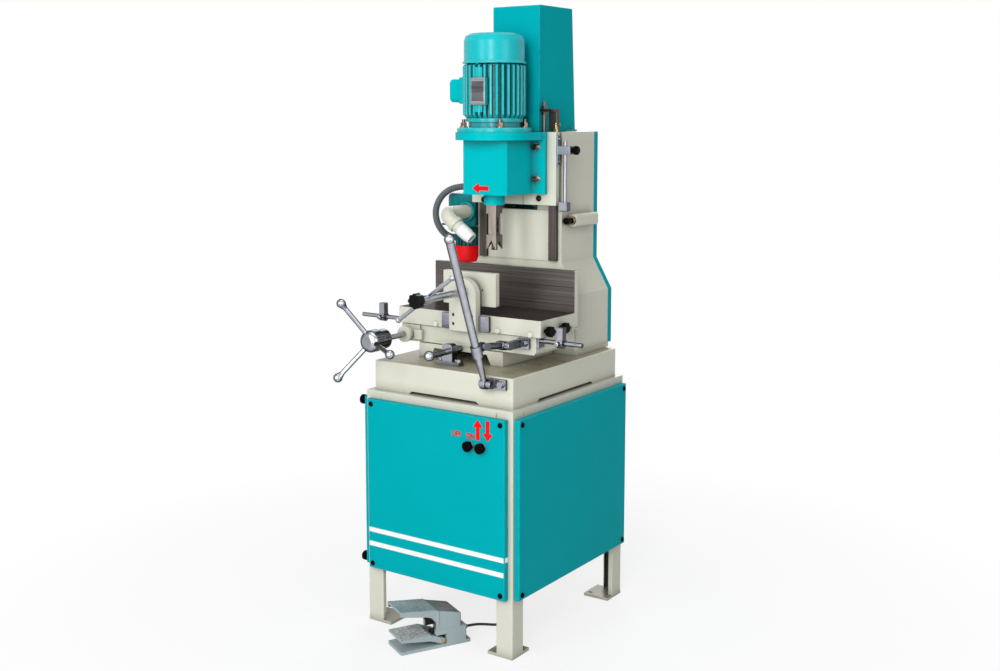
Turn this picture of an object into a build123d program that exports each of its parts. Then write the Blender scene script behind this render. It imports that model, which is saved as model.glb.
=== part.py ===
from build123d import *
import math
import os

# Hollow chisel mortiser on a sheet-clad stand. Millimetres, +Z up, -Y towards the operator.
# The origin is on the floor, midway between the four feet.

# Fits
run_fit = 0.05          # radial, a shaft in its bearing
slide_gap = 0.2         # between flat sliding faces
screw_gap = 0.1         # radial, a screw in its hole
open_gap = 2.0          # between pieces that pass each other

# Stand
frame_width = 470
frame_depth = 554
frame_height = 638
leg_size = 50
leg_wall = 3
leg_lip = 12            # return lips of the open leg section
foot_size = 76
foot_thick = 8
anchor_hole_radius = 6
anchor_inset = 63       # anchor hole from both outer sides of the foot
rail_size = 40
rail_wall = 3
rail_rise = 3           # above the panels' lower edge
deck_thick = 8
floor_sheet = 3
panel_low = 155
panel_high = 617
panel_depth = 15
panel_sheet = 1.5
panel_edge_radius = 2.5
front_panel_inset = 14  # panel's side edge in from the frame's side
side_panel_inset = 8
panel_screw_inset = 13
screw_radius = 3
screw_head_radius = 7
screw_head_height = 5
panel_knob_radius = 13
panel_knob_height = 20
screw_head_edge = 1.2
screw_head_curve_shares = ((0.86, 0.6), (0.5, 0.92))   # of the head's radius and height
panel_knob_neck_radius = 7.8
panel_knob_neck = 6
panel_knob_flare = 2
panel_knob_chamfer = 3

# Push buttons on the front panel
button_x = (116, 154)
button_drop = 98        # below the frame's top
button_radius = 13.5
button_thick = 9
button_stem_radius = 8
button_travel = 4
button_gap = 1
button_edge_radius = 2.5
bezel_radius = 12.5
bezel_thick = 4
barrel_radius = 10.5
barrel_length = 34

# Power pack
tank_size = (236, 190, 150)
tank_place = (62, 125)
tank_lid = 6
pump_motor_radius = 62
pump_motor_length = 170
pump_radius = 30
pump_length = 55
pump_offset = 30
pump_inset = 6
pump_foot = (20, 50, 30)
pump_rise = 8
tank_lid_lip = 6
tank_corner_radius = 12
valve_coil_length = 40
valve_coil_step = 3
valve_size = (90, 36, 56)
pipe_radius = 5
pipe_wall = 1.2
pipe_spread = 14
pipe_y = 205
pipe_bend = 8

# Machine base casting
base_width = 444
base_depth = 514
base_height = 78
base_wall = 15
base_roof = 18
base_edge_radius = 4
slot_height = 7
slot_slope = 10
front_slot = (-107, 119)
side_slot = (-146, 131)

# Cross way, fixed on the base
way_middle = -24
way_half = 137
way_front = -143
way_height = 37
way_foot = 38
way_arch = 26
dovetail_height = 12
cross_dovetail_half = 70
dovetail_slope = 9

# Saddle
saddle_left = -157
saddle_end_gap = 16     # saddle's right end in from the table's
saddle_front = -140
saddle_back = 46
saddle_height = 45
saddle_chamfer = 8
boss_block_left = -219
boss_radius = 22
boss_front = -168
boss_ring = 7
boss_pad = 26
boss_pad_thick = 12
boss_step = 3
boss_block_proud = 5
table_dovetail = (-92, 12)

# Capstan on the saddle, axis along Y
capstan_x = -195
capstan_drop = 25       # axis below the saddle's top
capstan_shaft_radius = 8.5
hub_radius = 29.5
hub_front = -322
hub_length = 74
hub_dome = 43
hub_collar_radius = 26.5
hub_groove = 4
hub_dome_round = 16.225
hub_chamfer = 1.5
arm_radius = 6.5
arm_middle = -298
arm_reach = 114
arm_dish = 65
arm_angles = (115, 236, 353)
arm_root = 8
arm_neck = 17
arm_ball_radius = 12.5
arm_ball_neck = 10
capstan_shaft_run = 20  # behind the pinion
gear_module = 2
pinion_teeth = 20
pressure_angle = 20
gear_width = 16
tooth_root_share = 1.2  # root's depth in modules
rack_slot_share = 1.5   # its floor under the pitch line, in modules
rack_slot_run = 30
rack_sink = 6           # rack's seat in the table
flank_count = 4         # straight steps of a tooth's flank
tooth_sink = 0.5
gear_y = -120
rack_length = 168
tooth_play = 0.35

# Table and fence
table_half = 230
table_front = -145
table_back = 46
table_thick = 44
table_edge_radius = 2.5
table_stroke = 115      # to the left, from the place shown
table_gap = 2
fence_front = 20
fence_thick = 16
fence_rise = 111
fence_drop = 40
fence_edge_radius = 3
fence_rib_share = 0.6   # outer ribs' place along the table's half length
fence_rib_thick = 12
fence_rib_drop = 30
gib_bolt_x = (-101, 100, 201)
gib_bolt_radius = 6.5
gib_bolt_head = 7
gib_bolt_round = 1.5
lock_knob_y = (-124, -51)
lock_knob_radius = 14
lock_knob_thick = 14
lock_stud_radius = 5
lock_stud_length = 9
lock_stud_grip = 19
lock_bore_depth = 20
lock_knob_rise = 16
lock_knob_lobe_count = 7
lobe_core_share = 0.86  # a lobed knob, in shares of its radius
lobe_place_share = 0.78
lobe_size_share = 0.22

# Table end stops
stop_rod_radius = 6
left_stop_y = -50
left_stop_reach = 134   # beyond the table's end
left_rod_reach = 210
right_stop_y = -131
right_stop_reach = 53
right_rod_reach = 115
stop_rod_drop = 6.5     # rod axis below the saddle's top
stop_post = 18
stop_post_rise = 40
stop_eye_radius = 13
stop_plate_thick = 8
stop_plate = 26
stop_plate_low = 4      # left plate's foot under its square
stop_plate_cut = 2      # right plate's foot above its square
stop_post_chamfer = 2
thumb_radius = 6
thumb_length = 14
thumb_round = 2
thumb_slot_half = 0.8
thumb_slot_depth = 2

# Vise on the table front
vise_half = 43          # also the arch's radius
vise_arch_drop = 6      # arch's centre below the screw
vise_thick = 20
vise_drop = 45          # bracket's foot below the table top
vise_axis_rise = 58     # screw above the table top
vise_nose = 6
vise_nose_wall = 9
vise_recess_radius = 4.5
vise_recess_depth = 12
vise_recess_x = 30
vise_recess_rise = (18, 42)
guide_bar_half = 76
guide_bar_rise = 2
guide_bar_thick = 9
guide_bar_height = 40
jaw_middle = -5
jaw_half = 85
jaw_gap = 20            # under the jaw, above the table top
jaw_height = 88
jaw_thick = 16
jaw_front = -127
jaw_edge_radius = 3
jaw_seat_depth = 9.6
jaw_hole_radius = 2.5
jaw_hole_rise = 4       # above the screw
vise_screw_radius = 10
vise_screw_front = -338
vise_tip_step = 2
vise_tip_gap = 0.4
vise_collar_radius = 13
handle_y = -322
handle_collar = 32
handle_reach = 105
handle_radius = 5.5
handle_ball_radius = 8
handle_tilt = 35
star_radius = 20
star_front = -366
star_thick = 20
star_lobes = 8

# Column
column_front = 101
column_depth = 169
column_low_half = 187
column_low_height = 164
shoulder_height = 86
column_top_half = 138
column_top_height = 352
column_wall = 14
column_edge_radius = 8
column_bend_share = 0.4 # of the wall, where the hollow follows the shoulder
plinth_height = 12
plinth_proud = 3
rear_cover_depth = 20
rear_cover_sheet = 2.5
slot_half = 60
slot_rise = 140         # above the shoulder
guide_inner = 103
guide_outer = 127
guide_thick = 24
guide_top_thick = 16
guide_proud = 12
guide_foot = 4          # above the shoulder
guide_rise = 54         # above the column top
front_cover_thick = 3
front_cover_gap = 1
front_cover_foot = 3    # above the shoulder
keeper_inset = 12       # stud's axis in from the rail and behind the carriage's front
keeper_setback = 14
keeper_half = 9
keeper_thick = 7
keeper_stud_radius = 5.5
keeper_stud_gap = 0.5
keeper_stud_rise = 26
keeper_nut_radius = 9.5
keeper_nut_low = 9
keeper_nut_high = 8

# Hydraulic cylinder and its cover
cylinder_y = 140
cylinder_radius = 40
cylinder_bore = 31.5
cylinder_length = 270
flange_thick = 16
flange_half = 68
flange_reach = 30       # behind the pipes
gland_thick = 14        # cylinder's two ends
port_inset = 26
port_half = 12
port_proud = 10
port_sink = 20
piston_inset = 16
rod_radius = 18
piston_thick = 25
cover_half = 75
cover_front = 85
cover_depth_low = 185
cover_depth_top = 166
cover_height = 336
cover_tab = (16, 24, 5)
cover_tab_shares = (0.35, 0.85)    # their places along the cover's depth
cover_bolt_reach = 9.6
cover_bolt_radius = 5
cover_bolt_height = 5
cover_edge_radius = 4
cover_gap = 1
cover_sheet = 2.5

# Carriage
carriage_half = 138
carriage_front = 71
carriage_height = 196
lift_boss_half = 40
lift_boss_back = 168
lift_boss_height = 60
lift_boss_corner = 6
joint_span = (32, 34)   # groove on the carriage's front, right of the head
joint_depth = 3
plug_radius = 8
plug_height = 6
plug_drop = 13
plug_round = 4

# Head
spindle_y = -18
head_half = 71
head_front = -73
head_height = 165
head_edge = 11
head_flange_half = 110
head_flange_thick = 12
motor_plate_radius = 104
motor_plate_thick = 21
head_bolt_x = 84
head_bolt_drop = (125, 40)
head_bolt_radius = 6
head_washer_radius = 12.5
head_washer_thick = 3
head_cap_radius = 8
head_cap_height = 11
head_socket_radius = 4.6
head_socket_depth = 6
bearing_radius = 35
bearing_thick = 18
spindle_radius = 15
spindle_lift = 4        # lower end above the head's lower face
nose_radius = 20
collar_radius = 28
collar_height = 28
clamp_screw_radius = 6.5
clamp_turn = -125
clamp_seat_step = 3
clamp_seat_length = 8
clamp_screw_out = 5
clamp_screw_length = 6

# Hollow chisel and auger
chisel_side = 31
chisel_neck = 23
chisel_bore = 9
chisel_shank_radius = 11
chisel_block = 24
chisel_neck_length = 57
chisel_cutter_length = 38
chisel_notch = 24
chisel_corner = 2       # flat left beside the notch
chisel_slot_half = 5.4
chisel_slot_low = 6
chisel_slot_high = 8
auger_proud = 3
auger_radius = 8.4
auger_core = 3.2
auger_length = 92
auger_shank_radius = 6
shank_grip = 50
auger_turns = 2.25

# Drill motor
motor_flange_radius = 100
motor_flange_thick = 12
motor_pitch_radius = 82.5
motor_stud_count = 4
motor_stud_rise = 22
motor_washer_thick = 3
motor_washer_step = 2
motor_nut_height = 10
motor_flange_chamfer = 3
motor_stud_radius = 5
motor_nut_radius = 9
motor_spigot_radius = 69
motor_spigot_height = 24
motor_throat_radius = 32
motor_lip_proud = 7
motor_lip_height = 9
motor_core_radius = 68
motor_fin_radius = 84
motor_fin_thick = 7
motor_fin_count = 32
motor_fin_sink = 4
motor_fin_flare = 1
motor_fin_round = 2
motor_fin_ease = 1.5
motor_low_step = 6      # under the fins, out from the core
motor_low_bevel = 10
motor_top_bevel = 4
motor_body_height = 140
motor_bore = 52
motor_shaft_radius = 12
rotor_radius = 50
rotor_inset = 20
coupling_step = 10
motor_fan_rise = 14
motor_fan_hub = (20, 24)
fan_blade_count = 6
fan_blade_sink = 3
cowl_radius = 81
cowl_height = 81
cowl_top_radius = 66
cowl_chamfer = 19
cowl_rim = 4
cowl_sheet = 2
cowl_gap = 3            # above the motor body
cowl_rim_height = 3
cowl_rim_slope = 5
cowl_knee_share = 0.32
cowl_knee_sheet = 1.2
cowl_inner_step = 1
cowl_lug_half = 4
cowl_lug_height = 6
cowl_lug_sink = 6
grille_radii = (18, 32, 46)
grille_counts = (6, 12, 16)
grille_hole_radius = 4
terminal_reach = 133
terminal_half = 27
terminal_height = 62
terminal_rise = 4
terminal_lip = 4
terminal_corner = 12
terminal_edge_radius = 11
terminal_flange = 9
terminal_flange_corner = 5
terminal_seat = 1
terminal_sink = 6
plate_x = 7
plate_half = 22
plate_height = 68
plate_strip = 11
plate_strip_sink = 4
plate_strip_low = 16
plate_strip_high = 8
plate_pad_proud = 2
plate_pad_lip = 1
plate_thick = 1.2
fan_blade = (46, 3, 22)

# Depth stop on the carriage's right side
depth_plate = (5, 22, 78)
depth_plate_y = 82
depth_block = (38, 20, 22)
depth_block_drop = 48
depth_plate_thick = 12
depth_bolt_radius = 4.5
depth_bolt_head = 5
depth_bolt_inset = 9
depth_stud_radius = 4
depth_stud_gap = 1.5    # from the rod's side
depth_bore_gap = 1
depth_rod_x = 160
depth_rod_radius = 4.75
depth_rod_drop = 24
dog_size = (24, 20, 25)
dog_drop = 211
dog_offset = 2
dog_chamfer = 2
depth_knob_radius = 12
depth_knob_length = 20
depth_knob_neck_radius = 7.44
depth_knob_neck = 8
depth_knob_gap = 0.5
depth_knob_chamfer = 3

# Oil fitting on the carriage's top
oil_inset = 8
oil_setback = 12
oil_nut_radius = 6
oil_nut_height = 9
oil_stem_radius = 4
oil_stem_height = 24
oil_spout_radius = 3.5
oil_spout_rise = 20
oil_spout_left = 5
oil_spout_right = 12

# Limit switch on the column's right side
switch_box = (27, 115, 34)
switch_y = 135
switch_rise = 113       # above the shoulder
plunger_radius = 9
plunger_front = 98
switch_ring_radius = 11.5
switch_ring_thick = 10
plunger_travel = 5
plunger_gap = 1
plunger_round = 3
plunger_step = 3        # stem's radius under the cap's
plunger_stem = 12
plunger_bore_depth = 20
switch_edge_radius = 8

# Dust blower on the column's left side
blower_x = -224
blower_y = 168
blower_deck_rise = 87   # above the shoulder
blower_plate = 6
blower_plate_left = 60
blower_plate_front = 46
blower_plate_back = 50
blower_wall_drop = 70
blower_wall_front = 30
scroll_height = 88
scroll_start = 50
scroll_step = 6
scroll_land = 6
scroll_eye = 14
scroll_wall = 3
scroll_roof = 8
scroll_round = 12
blower_fan_radius = 34
blower_fan_gap = 4
blower_fan_plate = 5
blower_blade = (14, 2, 26)
blower_blade_count = 10
blower_blade_inset = 8
fan_shaft_drop = 20
fan_bore_depth = 22
fan_shaft_radius = 6
blower_motor_radius = 38
blower_motor_height = 58
blower_fin = (14, 3)
blower_fin_count = 20
blower_fin_depth = 8
blower_box_left = 16    # beside the conduit's axis
blower_box_sink = 5
blower_box_depth = 28
blower_box_half = 15
blower_box_corner = 4
blower_cowl_radius = 42
blower_cowl_height = 47
blower_cowl_step = 4
blower_cowl_bevel = 6
outlet_radius = 23
outlet_lip = 9
outlet_wall = 3
nozzle_pipe_radius = 19.5
nozzle_pipe_wall = 3
outlet_x = -172
outlet_rise = 40        # above the deck
elbow_y = -16
elbow_radius = 26.325
nozzle_end = (-86, -4, 61)
nozzle_length = 58
nozzle_step = 1
nozzle_taper_share = 0.86
nozzle_straight_share = 0.7
pipe_ring = (3, 12)

# Ribbed conduit from the column to the blower motor
conduit_radius = 10
conduit_groove = 1.4
conduit_bore = 7
conduit_pitch = 6
conduit_boss = 10
conduit_boss_wall = 2
conduit_rib_shares = (0.2, 0.6, 0.8)   # of the pitch: crown's start, crown's end and rib's end
conduit_bends = (
    (-148, 152, 194),
    (-172, 152, 194),
    (-209, 140, 196),
    (-242, 112, 190),
    (-264, 91, 167),
    (-276, 81, 132),
    (-277, 86, 95),
    (-273, 108, 64),
    (-271, 136, 48),
    (-272, 166, 42),
    (-272, 186, 42),
)

# Hand lever for the cross slide, swinging in a plane of constant X
lever_x = 150
lever_pivot_y = -276
lever_pivot_drop = 17   # pivot below the base's top
lever_lean = 21
lever_sleeve_reach = 93
lever_sleeve_length = 30
lever_sleeve_radius = 14
lever_reach = 411
lever_foot_radius = 7.5
lever_shaft_radius = 10
lever_grip_radius = 11
lever_knob_radius = 13
pivot_pin_radius = 6
eye_radius = 14
eye_width = 16
lever_foot_sink = 4
ear_gap = 1
ear_step = 3
pin_sink = 2
pin_head_step = 3.5
pin_head_gap = 1
lever_pin_head = 4
link_pin_head = 6
link_pin_y = -198
link_radius = 9
link_eye_radius = 12
link_eye_width = 20
link_play = 3.5
link_ear_radius = 10
link_pin_drop = 16      # below the saddle's top
lug_offset = 24
lug_width = 9
fork_width = 7
fork_gap = 1.5
fork_height = 15.3
fork_ear_radius = 9
bracket_plate = (46, 8, 26)
bracket_ear = 14
link_plate_width = 36
bracket_bolt_height = 7
bracket_bolt_radius = 9
link_bolt_radius = 8

# Cross stop
stop_block_x = -17
stop_block_y = -199
stop_block = (32, 22, 56)
stop_screw_radius = 8
stop_screw_rise = 36
stop_screw_front = -285
stop_screw_back = -151
stop_ball_radius = 14
stop_foot = 74
stop_foot_thick = 10
stop_block_round = 9.6
stop_bolt_inset = 10
stop_bolt_radius = 8
stop_bolt_height = 7
stop_nuts = ((6, 14), (16, 22))    # behind the bracket
stop_nut_radius = 13

# Foot pedal
pedal_x = -5
pedal_y = -307
pedal_turn = -27.9
pedal_width = 88
pedal_length = 197
pedal_sheet = 8
pedal_housing_start = 99
pedal_housing_length = 86
pedal_wall = 14
pedal_rear_wall = 8
pedal_corner = 4
pedal_plate_corner = 5
pedal_split = 48
pedal_upper_inset = 14  # upper body's rear in from the lower body's
pedal_upper_side = 1
pedal_upper_round = 6
pedal_upper_wall = 10
pedal_upper_roof = 8
pedal_top_front = 101
pedal_top_rear = 83
pedal_hood_tip = 114
pedal_hood_thick = 6
pedal_hood_skirt = 13
pedal_hood_lap = 1
pedal_hood_lift = 1.5
pedal_cheek_front = 26
pedal_cheek_rear = 12
pedal_cheek_drop = 5
pedal_cheek_low = 18
pedal_bead = 4.5
pedal_bead_rise = 14
pedal_bead_drop = 2
pedal_bead_inset = 3
pedal_label = (130, 160, 17)
pedal_label_thick = 0.8
switch_block = (18, 24, 40)
switch_block_gap = 8
switch_block_drop = 4
switch_block_corner = 3
treadle_top = 38
treadle_front = 6
treadle_rear = 16
treadle_bend = 82
treadle_start = 2
treadle_side_gap = 1
treadle_cut = 8
treadle_room = 3
treadle_block = 8
treadle_hinge_u = 117
treadle_hinge_z = 17
treadle_arm = 8
treadle_well = 34
treadle_pin_radius = 4
treadle_pin_head = 5.5
treadle_pin_head_thick = 1.5

# Pedal lead
lead_radius = 3.5
boot_wall = 2
boot_step = 1
lead_route = (
    (45.31, -212.0, 24),
    (57.47, -189.02, 24),
    (73, -160, 17),
    (86, -130, 8),
    (91, -97, 4),
    (79, -62, 4),
    (54, -20, 4),
    (18, 32, 4),
    (-24, 86, 4),
    (-64, 136, 4),
    (-93, 171, 8),
    (-108, 190, 32),
    (-112, 196, 66),
    (-110, 195, 106),
    (-110, 195, 145),
)
gland_radius = 9
gland_nut_height = 12
gland_nut_step = 3
gland_nose_step = 2
gland_thread = 14

# Derived heights and faces
frame_x = frame_width / 2
frame_y = frame_depth / 2
deck_low = frame_height - deck_thick
base_top = frame_height + base_height
way_top = base_top + way_height
saddle_low = way_top + open_gap
saddle_top = saddle_low + saddle_height
table_low = saddle_top + table_gap
table_top = table_low + table_thick
fence_top = table_top + fence_rise
saddle_right = table_half - saddle_end_gap
ridge_right = table_half + lock_stud_length - table_stroke - open_gap
rack_span = (-table_half, -table_half + rack_length)
left_stop_x = -table_half - left_stop_reach
left_rod_end = -table_half - left_rod_reach
right_stop_x = table_half + right_stop_reach
right_rod_end = table_half + right_rod_reach
vise_low = table_top - vise_drop
vise_axis_z = table_top + vise_axis_rise
jaw_low = table_top + jaw_gap
jaw_high = jaw_low + jaw_height
capstan_z = saddle_top - capstan_drop
button_z = frame_height - button_drop
front_half = frame_x - front_panel_inset
side_half = frame_y - side_panel_inset
front_face = -frame_y - panel_depth
column_back = column_front + column_depth
column_low_top = base_top + column_low_height
shoulder_top = column_low_top + shoulder_height
column_top = shoulder_top + column_top_height
slot_low = shoulder_top + slot_rise
guide_low = shoulder_top + guide_foot
guide_top = column_top + guide_rise
tongue_back = column_front - front_cover_thick - open_gap / 4
carriage_low = column_top - carriage_height
head_low = column_top - head_height
head_bolt_z = [column_top - drop for drop in head_bolt_drop]
depth_block_z = column_top - depth_block_drop
depth_rod_top = column_top - depth_rod_drop
dog_low = column_top - dog_drop
switch_z = shoulder_top + switch_rise
blower_deck = shoulder_top + blower_deck_rise
outlet_z = blower_deck + outlet_rise
nozzle_tip = (nozzle_end[0], nozzle_end[1], shoulder_top + nozzle_end[2])
conduit_route = [(x, y, shoulder_top + rise) for x, y, rise in conduit_bends]
cover_bottom = column_top + cover_gap
cylinder_low = column_top + flange_thick
motor_low = column_top
motor_body_low = motor_low + motor_flange_thick + motor_spigot_height
motor_body_top = motor_body_low + motor_body_height
collar_low = head_low - collar_height
chisel_block_low = collar_low - chisel_block
chisel_neck_low = chisel_block_low - chisel_neck_length
chisel_tip = chisel_neck_low - chisel_cutter_length
rail_low = panel_low + rail_rise
floor_top = rail_low + rail_size + floor_sheet
sides = (-1, 1)


# Shared helpers

def block(x, y, z):
    size = (x[1] - x[0], y[1] - y[0], z[1] - z[0])
    middle = ((x[0] + x[1]) / 2, (y[0] + y[1]) / 2, (z[0] + z[1]) / 2)
    return Pos(*middle) * Box(*size)


def rod_x(start, end, y, z, radius):
    return Pos((start + end) / 2, y, z) * Rot(0, 90, 0) * Cylinder(radius, end - start)


def rod_y(start, end, x, z, radius):
    return Pos(x, (start + end) / 2, z) * Rot(90, 0, 0) * Cylinder(radius, end - start)


def rod_z(start, end, x, y, radius):
    return Pos(x, y, (start + end) / 2) * Cylinder(radius, end - start)


def rod_between(start, end, radius, end_radius=None):
    axis = Vector(*end) - Vector(*start)
    place = Plane(origin=start, z_dir=axis)
    if end_radius is None or end_radius == radius:
        return extrude(place * Circle(radius), axis.length)
    profile = Polyline((0, 0), (radius, 0), (end_radius, axis.length), (0, axis.length), close=True)
    return place.location * revolve(Plane.XZ * make_face(profile), Axis.Z)


def turned(points, x, y):
    return Pos(x, y, 0) * revolve(Plane.XZ * make_face(Polyline(*points, close=True)), Axis.Z)


def hexagon_y(start, end, x, z, radius):
    return extrude(Plane((x, start, z), x_dir=(1, 0, 0), z_dir=(0, 1, 0)) * RegularPolygon(radius, 6),
                   end - start)


def hexagon_z(start, end, x, y, radius):
    return extrude(Plane((x, y, start)) * RegularPolygon(radius, 6), end - start)


def upright(shape, radius):
    return fillet(shape.edges().filter_by(Axis.Z), radius)


def arc_radii(points):
    radii = []
    for before, here, after in zip(points, points[1:], points[2:]):
        first = Vector(*here) - Vector(*before)
        second = Vector(*after) - Vector(*here)
        half_turn = math.radians(first.get_angle(second)) / 2
        radii.append(0.45 * min(first.length, second.length) / math.tan(half_turn))
    return radii


def route_path(name, points):
    radii = arc_radii(points)
    print(name, "radii", [round(r) for r in radii])
    return FilletPolyline(*points, radius=radii)


def tube(path, radius):
    place = Plane(origin=path @ 0, z_dir=path % 0)
    return sweep(place * Circle(radius), path=path)


# Stand

def legs():
    group = []
    inside = (leg_wall, leg_size - leg_wall)
    for sx in sides:
        for sy in sides:
            outer = upright(block((0, leg_size), (0, leg_size), (foot_thick, deck_low)), leg_wall)
            inner = block(inside, inside, (foot_thick, deck_low))
            middle = (sx * (frame_x - leg_size / 2), sy * (frame_y - leg_size / 2))
            corner = Pos(middle[0] - leg_size / 2, middle[1] - leg_size / 2, 0)
            open_x = sorted((sx * (frame_x - leg_lip), sx * (frame_x - leg_size)))
            open_y = sorted((sy * (frame_y - leg_lip), sy * (frame_y - leg_size)))
            leg = corner * (outer - inner) - block(open_x, open_y, (foot_thick, deck_low))
            leg -= screw_holes(screw_radius + screw_gap)
            foot = Pos(sx * (frame_x - foot_size / 2), sy * (frame_y - foot_size / 2), foot_thick / 2)
            anchor = (sx * (frame_x - anchor_inset), sy * (frame_y - anchor_inset))
            plate = foot * Box(foot_size, foot_size, foot_thick)
            group.append(leg + plate - rod_z(0, foot_thick, *anchor, anchor_hole_radius))
    return Compound(children=group)


def frame_rails():
    group = []
    along_x = frame_x - leg_size
    along_y = frame_y - leg_size
    hollow = rail_size - 2 * rail_wall
    for low in (rail_low, deck_low - rail_size):
        z = low + rail_size / 2
        for side in sides:
            tube_x = Box(2 * along_x, rail_size, rail_size) - Box(2 * along_x, hollow, hollow)
            tube_y = Box(rail_size, 2 * along_y, rail_size) - Box(hollow, 2 * along_y, hollow)
            group.append(Pos(0, side * (frame_y - rail_size / 2), z) * tube_x)
            group.append(Pos(side * (frame_x - rail_size / 2), 0, z) * tube_y)
    return Compound(children=group)


def pipe_holes(low, high):
    return [rod_z(low, high, side * pipe_spread, pipe_y, pipe_radius + open_gap) for side in sides]


def top_plate():
    plate = block((-frame_x, frame_x), (-frame_y, frame_y), (deck_low, frame_height))
    return upright(plate, leg_wall) - pipe_holes(deck_low, frame_height)


def floor_plate():
    half_x = frame_x - rail_size / 2
    half_y = frame_y - leg_size
    plate = block((-half_x, half_x), (-half_y, half_y), (floor_top - floor_sheet, floor_top))
    x, y, z = lead_route[-1]
    return plate - rod_z(floor_top - floor_sheet, floor_top, x, y, lead_radius + boot_wall + screw_gap)


def panel_tray(half):
    outer = block((-half, half), (-panel_depth, 0), (panel_low, panel_high))
    outer = fillet(outer.faces().sort_by(Axis.Y)[0].edges(), panel_edge_radius)
    inner = block(
        (-half + panel_sheet, half - panel_sheet),
        (-panel_depth + panel_sheet, 0),
        (panel_low + panel_sheet, panel_high - panel_sheet),
    )
    return outer - inner


def panel_places(half):
    heights = (panel_low + panel_screw_inset, panel_high - panel_screw_inset)
    return [(side * (half - panel_screw_inset), z) for side in sides for z in heights]


def screw_holes(radius):
    holes = []
    for x, z in panel_places(front_half):
        holes.append(rod_y(-frame_y - panel_depth, -frame_y + leg_wall, x, z, radius))
        holes.append(rod_y(frame_y - leg_wall, frame_y + panel_depth, x, z, radius))
    for y, z in panel_places(side_half):
        holes.append(rod_x(-frame_x - panel_depth, -frame_x + leg_wall, y, z, radius))
        holes.append(rod_x(frame_x - leg_wall, frame_x + panel_depth, y, z, radius))
    return holes


def front_panel():
    panel = Pos(0, -frame_y, 0) * panel_tray(front_half)
    holes = [rod_y(front_face, -frame_y, x, button_z, barrel_radius + screw_gap) for x in button_x]
    return panel - holes - screw_holes(screw_radius + screw_gap)


def rear_panel():
    panel = Pos(0, frame_y, 0) * Rot(0, 0, 180) * panel_tray(front_half)
    return panel - screw_holes(screw_radius + screw_gap)


def right_panel():
    panel = Pos(frame_x, 0, 0) * Rot(0, 0, 90) * panel_tray(side_half)
    return panel - screw_holes(screw_radius + screw_gap)


def left_panel():
    panel = Pos(-frame_x, 0, 0) * Rot(0, 0, -90) * panel_tray(side_half)
    return panel - screw_holes(screw_radius + screw_gap)


def dome_screw():
    end = -panel_depth - leg_wall
    points = [
        (0, end), (screw_radius, end), (screw_radius, 0), (screw_head_radius, 0),
        (screw_head_radius, screw_head_edge),
    ]
    points += [(screw_head_radius * out, screw_head_height * up) for out, up in screw_head_curve_shares]
    return turned(points + [(0, screw_head_height)], 0, 0)


def panel_screws():
    group = []
    for x, z in panel_places(front_half):
        group.append(Pos(x, front_face, z) * Rot(90, 0, 0) * dome_screw())
        group.append(Pos(x, -front_face, z) * Rot(-90, 0, 0) * dome_screw())
    for y, z in panel_places(side_half):
        group.append(Pos(frame_x + panel_depth, y, z) * Rot(0, 90, 0) * dome_screw())
    return Compound(children=group)


def panel_knob():
    stud = -panel_depth - leg_wall
    points = [
        (0, stud), (screw_radius, stud), (screw_radius, 0), (panel_knob_neck_radius, 0),
        (panel_knob_neck_radius, panel_knob_neck), (panel_knob_radius, panel_knob_neck + panel_knob_flare),
        (panel_knob_radius, panel_knob_height - panel_knob_chamfer),
        (panel_knob_radius - panel_knob_chamfer, panel_knob_height), (0, panel_knob_height),
    ]
    return turned(points, 0, 0)


def left_panel_knobs():
    group = []
    for y, z in panel_places(side_half):
        group.append(Pos(-frame_x - panel_depth, y, z) * Rot(0, -90, 0) * panel_knob())
    return Compound(children=group)


def button_bezels():
    group = []
    for x in button_x:
        ring = rod_y(front_face - bezel_thick, front_face, x, button_z, bezel_radius)
        barrel = rod_y(front_face, front_face + barrel_length, x, button_z, barrel_radius)
        bore = rod_y(front_face - bezel_thick, front_face + barrel_length, x, button_z,
                     button_stem_radius + run_fit)
        group.append(ring + barrel - bore)
    return Compound(children=group)


def button(x):
    back = front_face - bezel_thick - button_travel - button_gap
    cap = rod_y(back - button_thick, back, x, button_z, button_radius)
    cap = fillet(cap.edges().group_by(Axis.Y)[0], button_edge_radius)
    stem = rod_y(back, front_face + barrel_length - button_travel - open_gap, x, button_z,
                 button_stem_radius)
    return cap + stem


# Power pack

def oil_tank():
    x, y = tank_place
    wide, deep, high = tank_size
    body = Pos(x, y, floor_top + (high - tank_lid) / 2) * Box(wide, deep, high - tank_lid)
    lid = Box(wide + 2 * tank_lid_lip, deep + 2 * tank_lid_lip, tank_lid)
    return upright(body, tank_corner_radius) + Pos(x, y, floor_top + high - tank_lid / 2) * lid


def pump_motor():
    x, y = tank_place
    low = floor_top + tank_size[2]
    start = x - tank_size[0] / 2 + pump_inset
    inset, half, high = pump_foot
    body = rod_x(start, start + pump_motor_length, y - pump_offset, pump_z(), pump_motor_radius)
    foot = block((start + inset, start + pump_motor_length - inset),
                 (y - pump_offset - half, y - pump_offset + half), (low, low + high))
    return body + foot


def pump_z():
    return floor_top + tank_size[2] + pump_motor_radius + pump_rise


def hydraulic_pump():
    x, y = tank_place
    start = x - tank_size[0] / 2 + pump_inset + pump_motor_length
    return rod_x(start, start + pump_length, y - pump_offset, pump_z(), pump_radius)


def valve_block():
    low = floor_top + tank_size[2]
    wide, deep, high = valve_size
    body = Pos(0, pipe_y, low + high / 2) * Box(wide, deep, high)
    coil = rod_x(wide / 2, wide / 2 + valve_coil_length, pipe_y, low + high / 2,
                 deep / 2 - valve_coil_step)
    return body + coil


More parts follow.
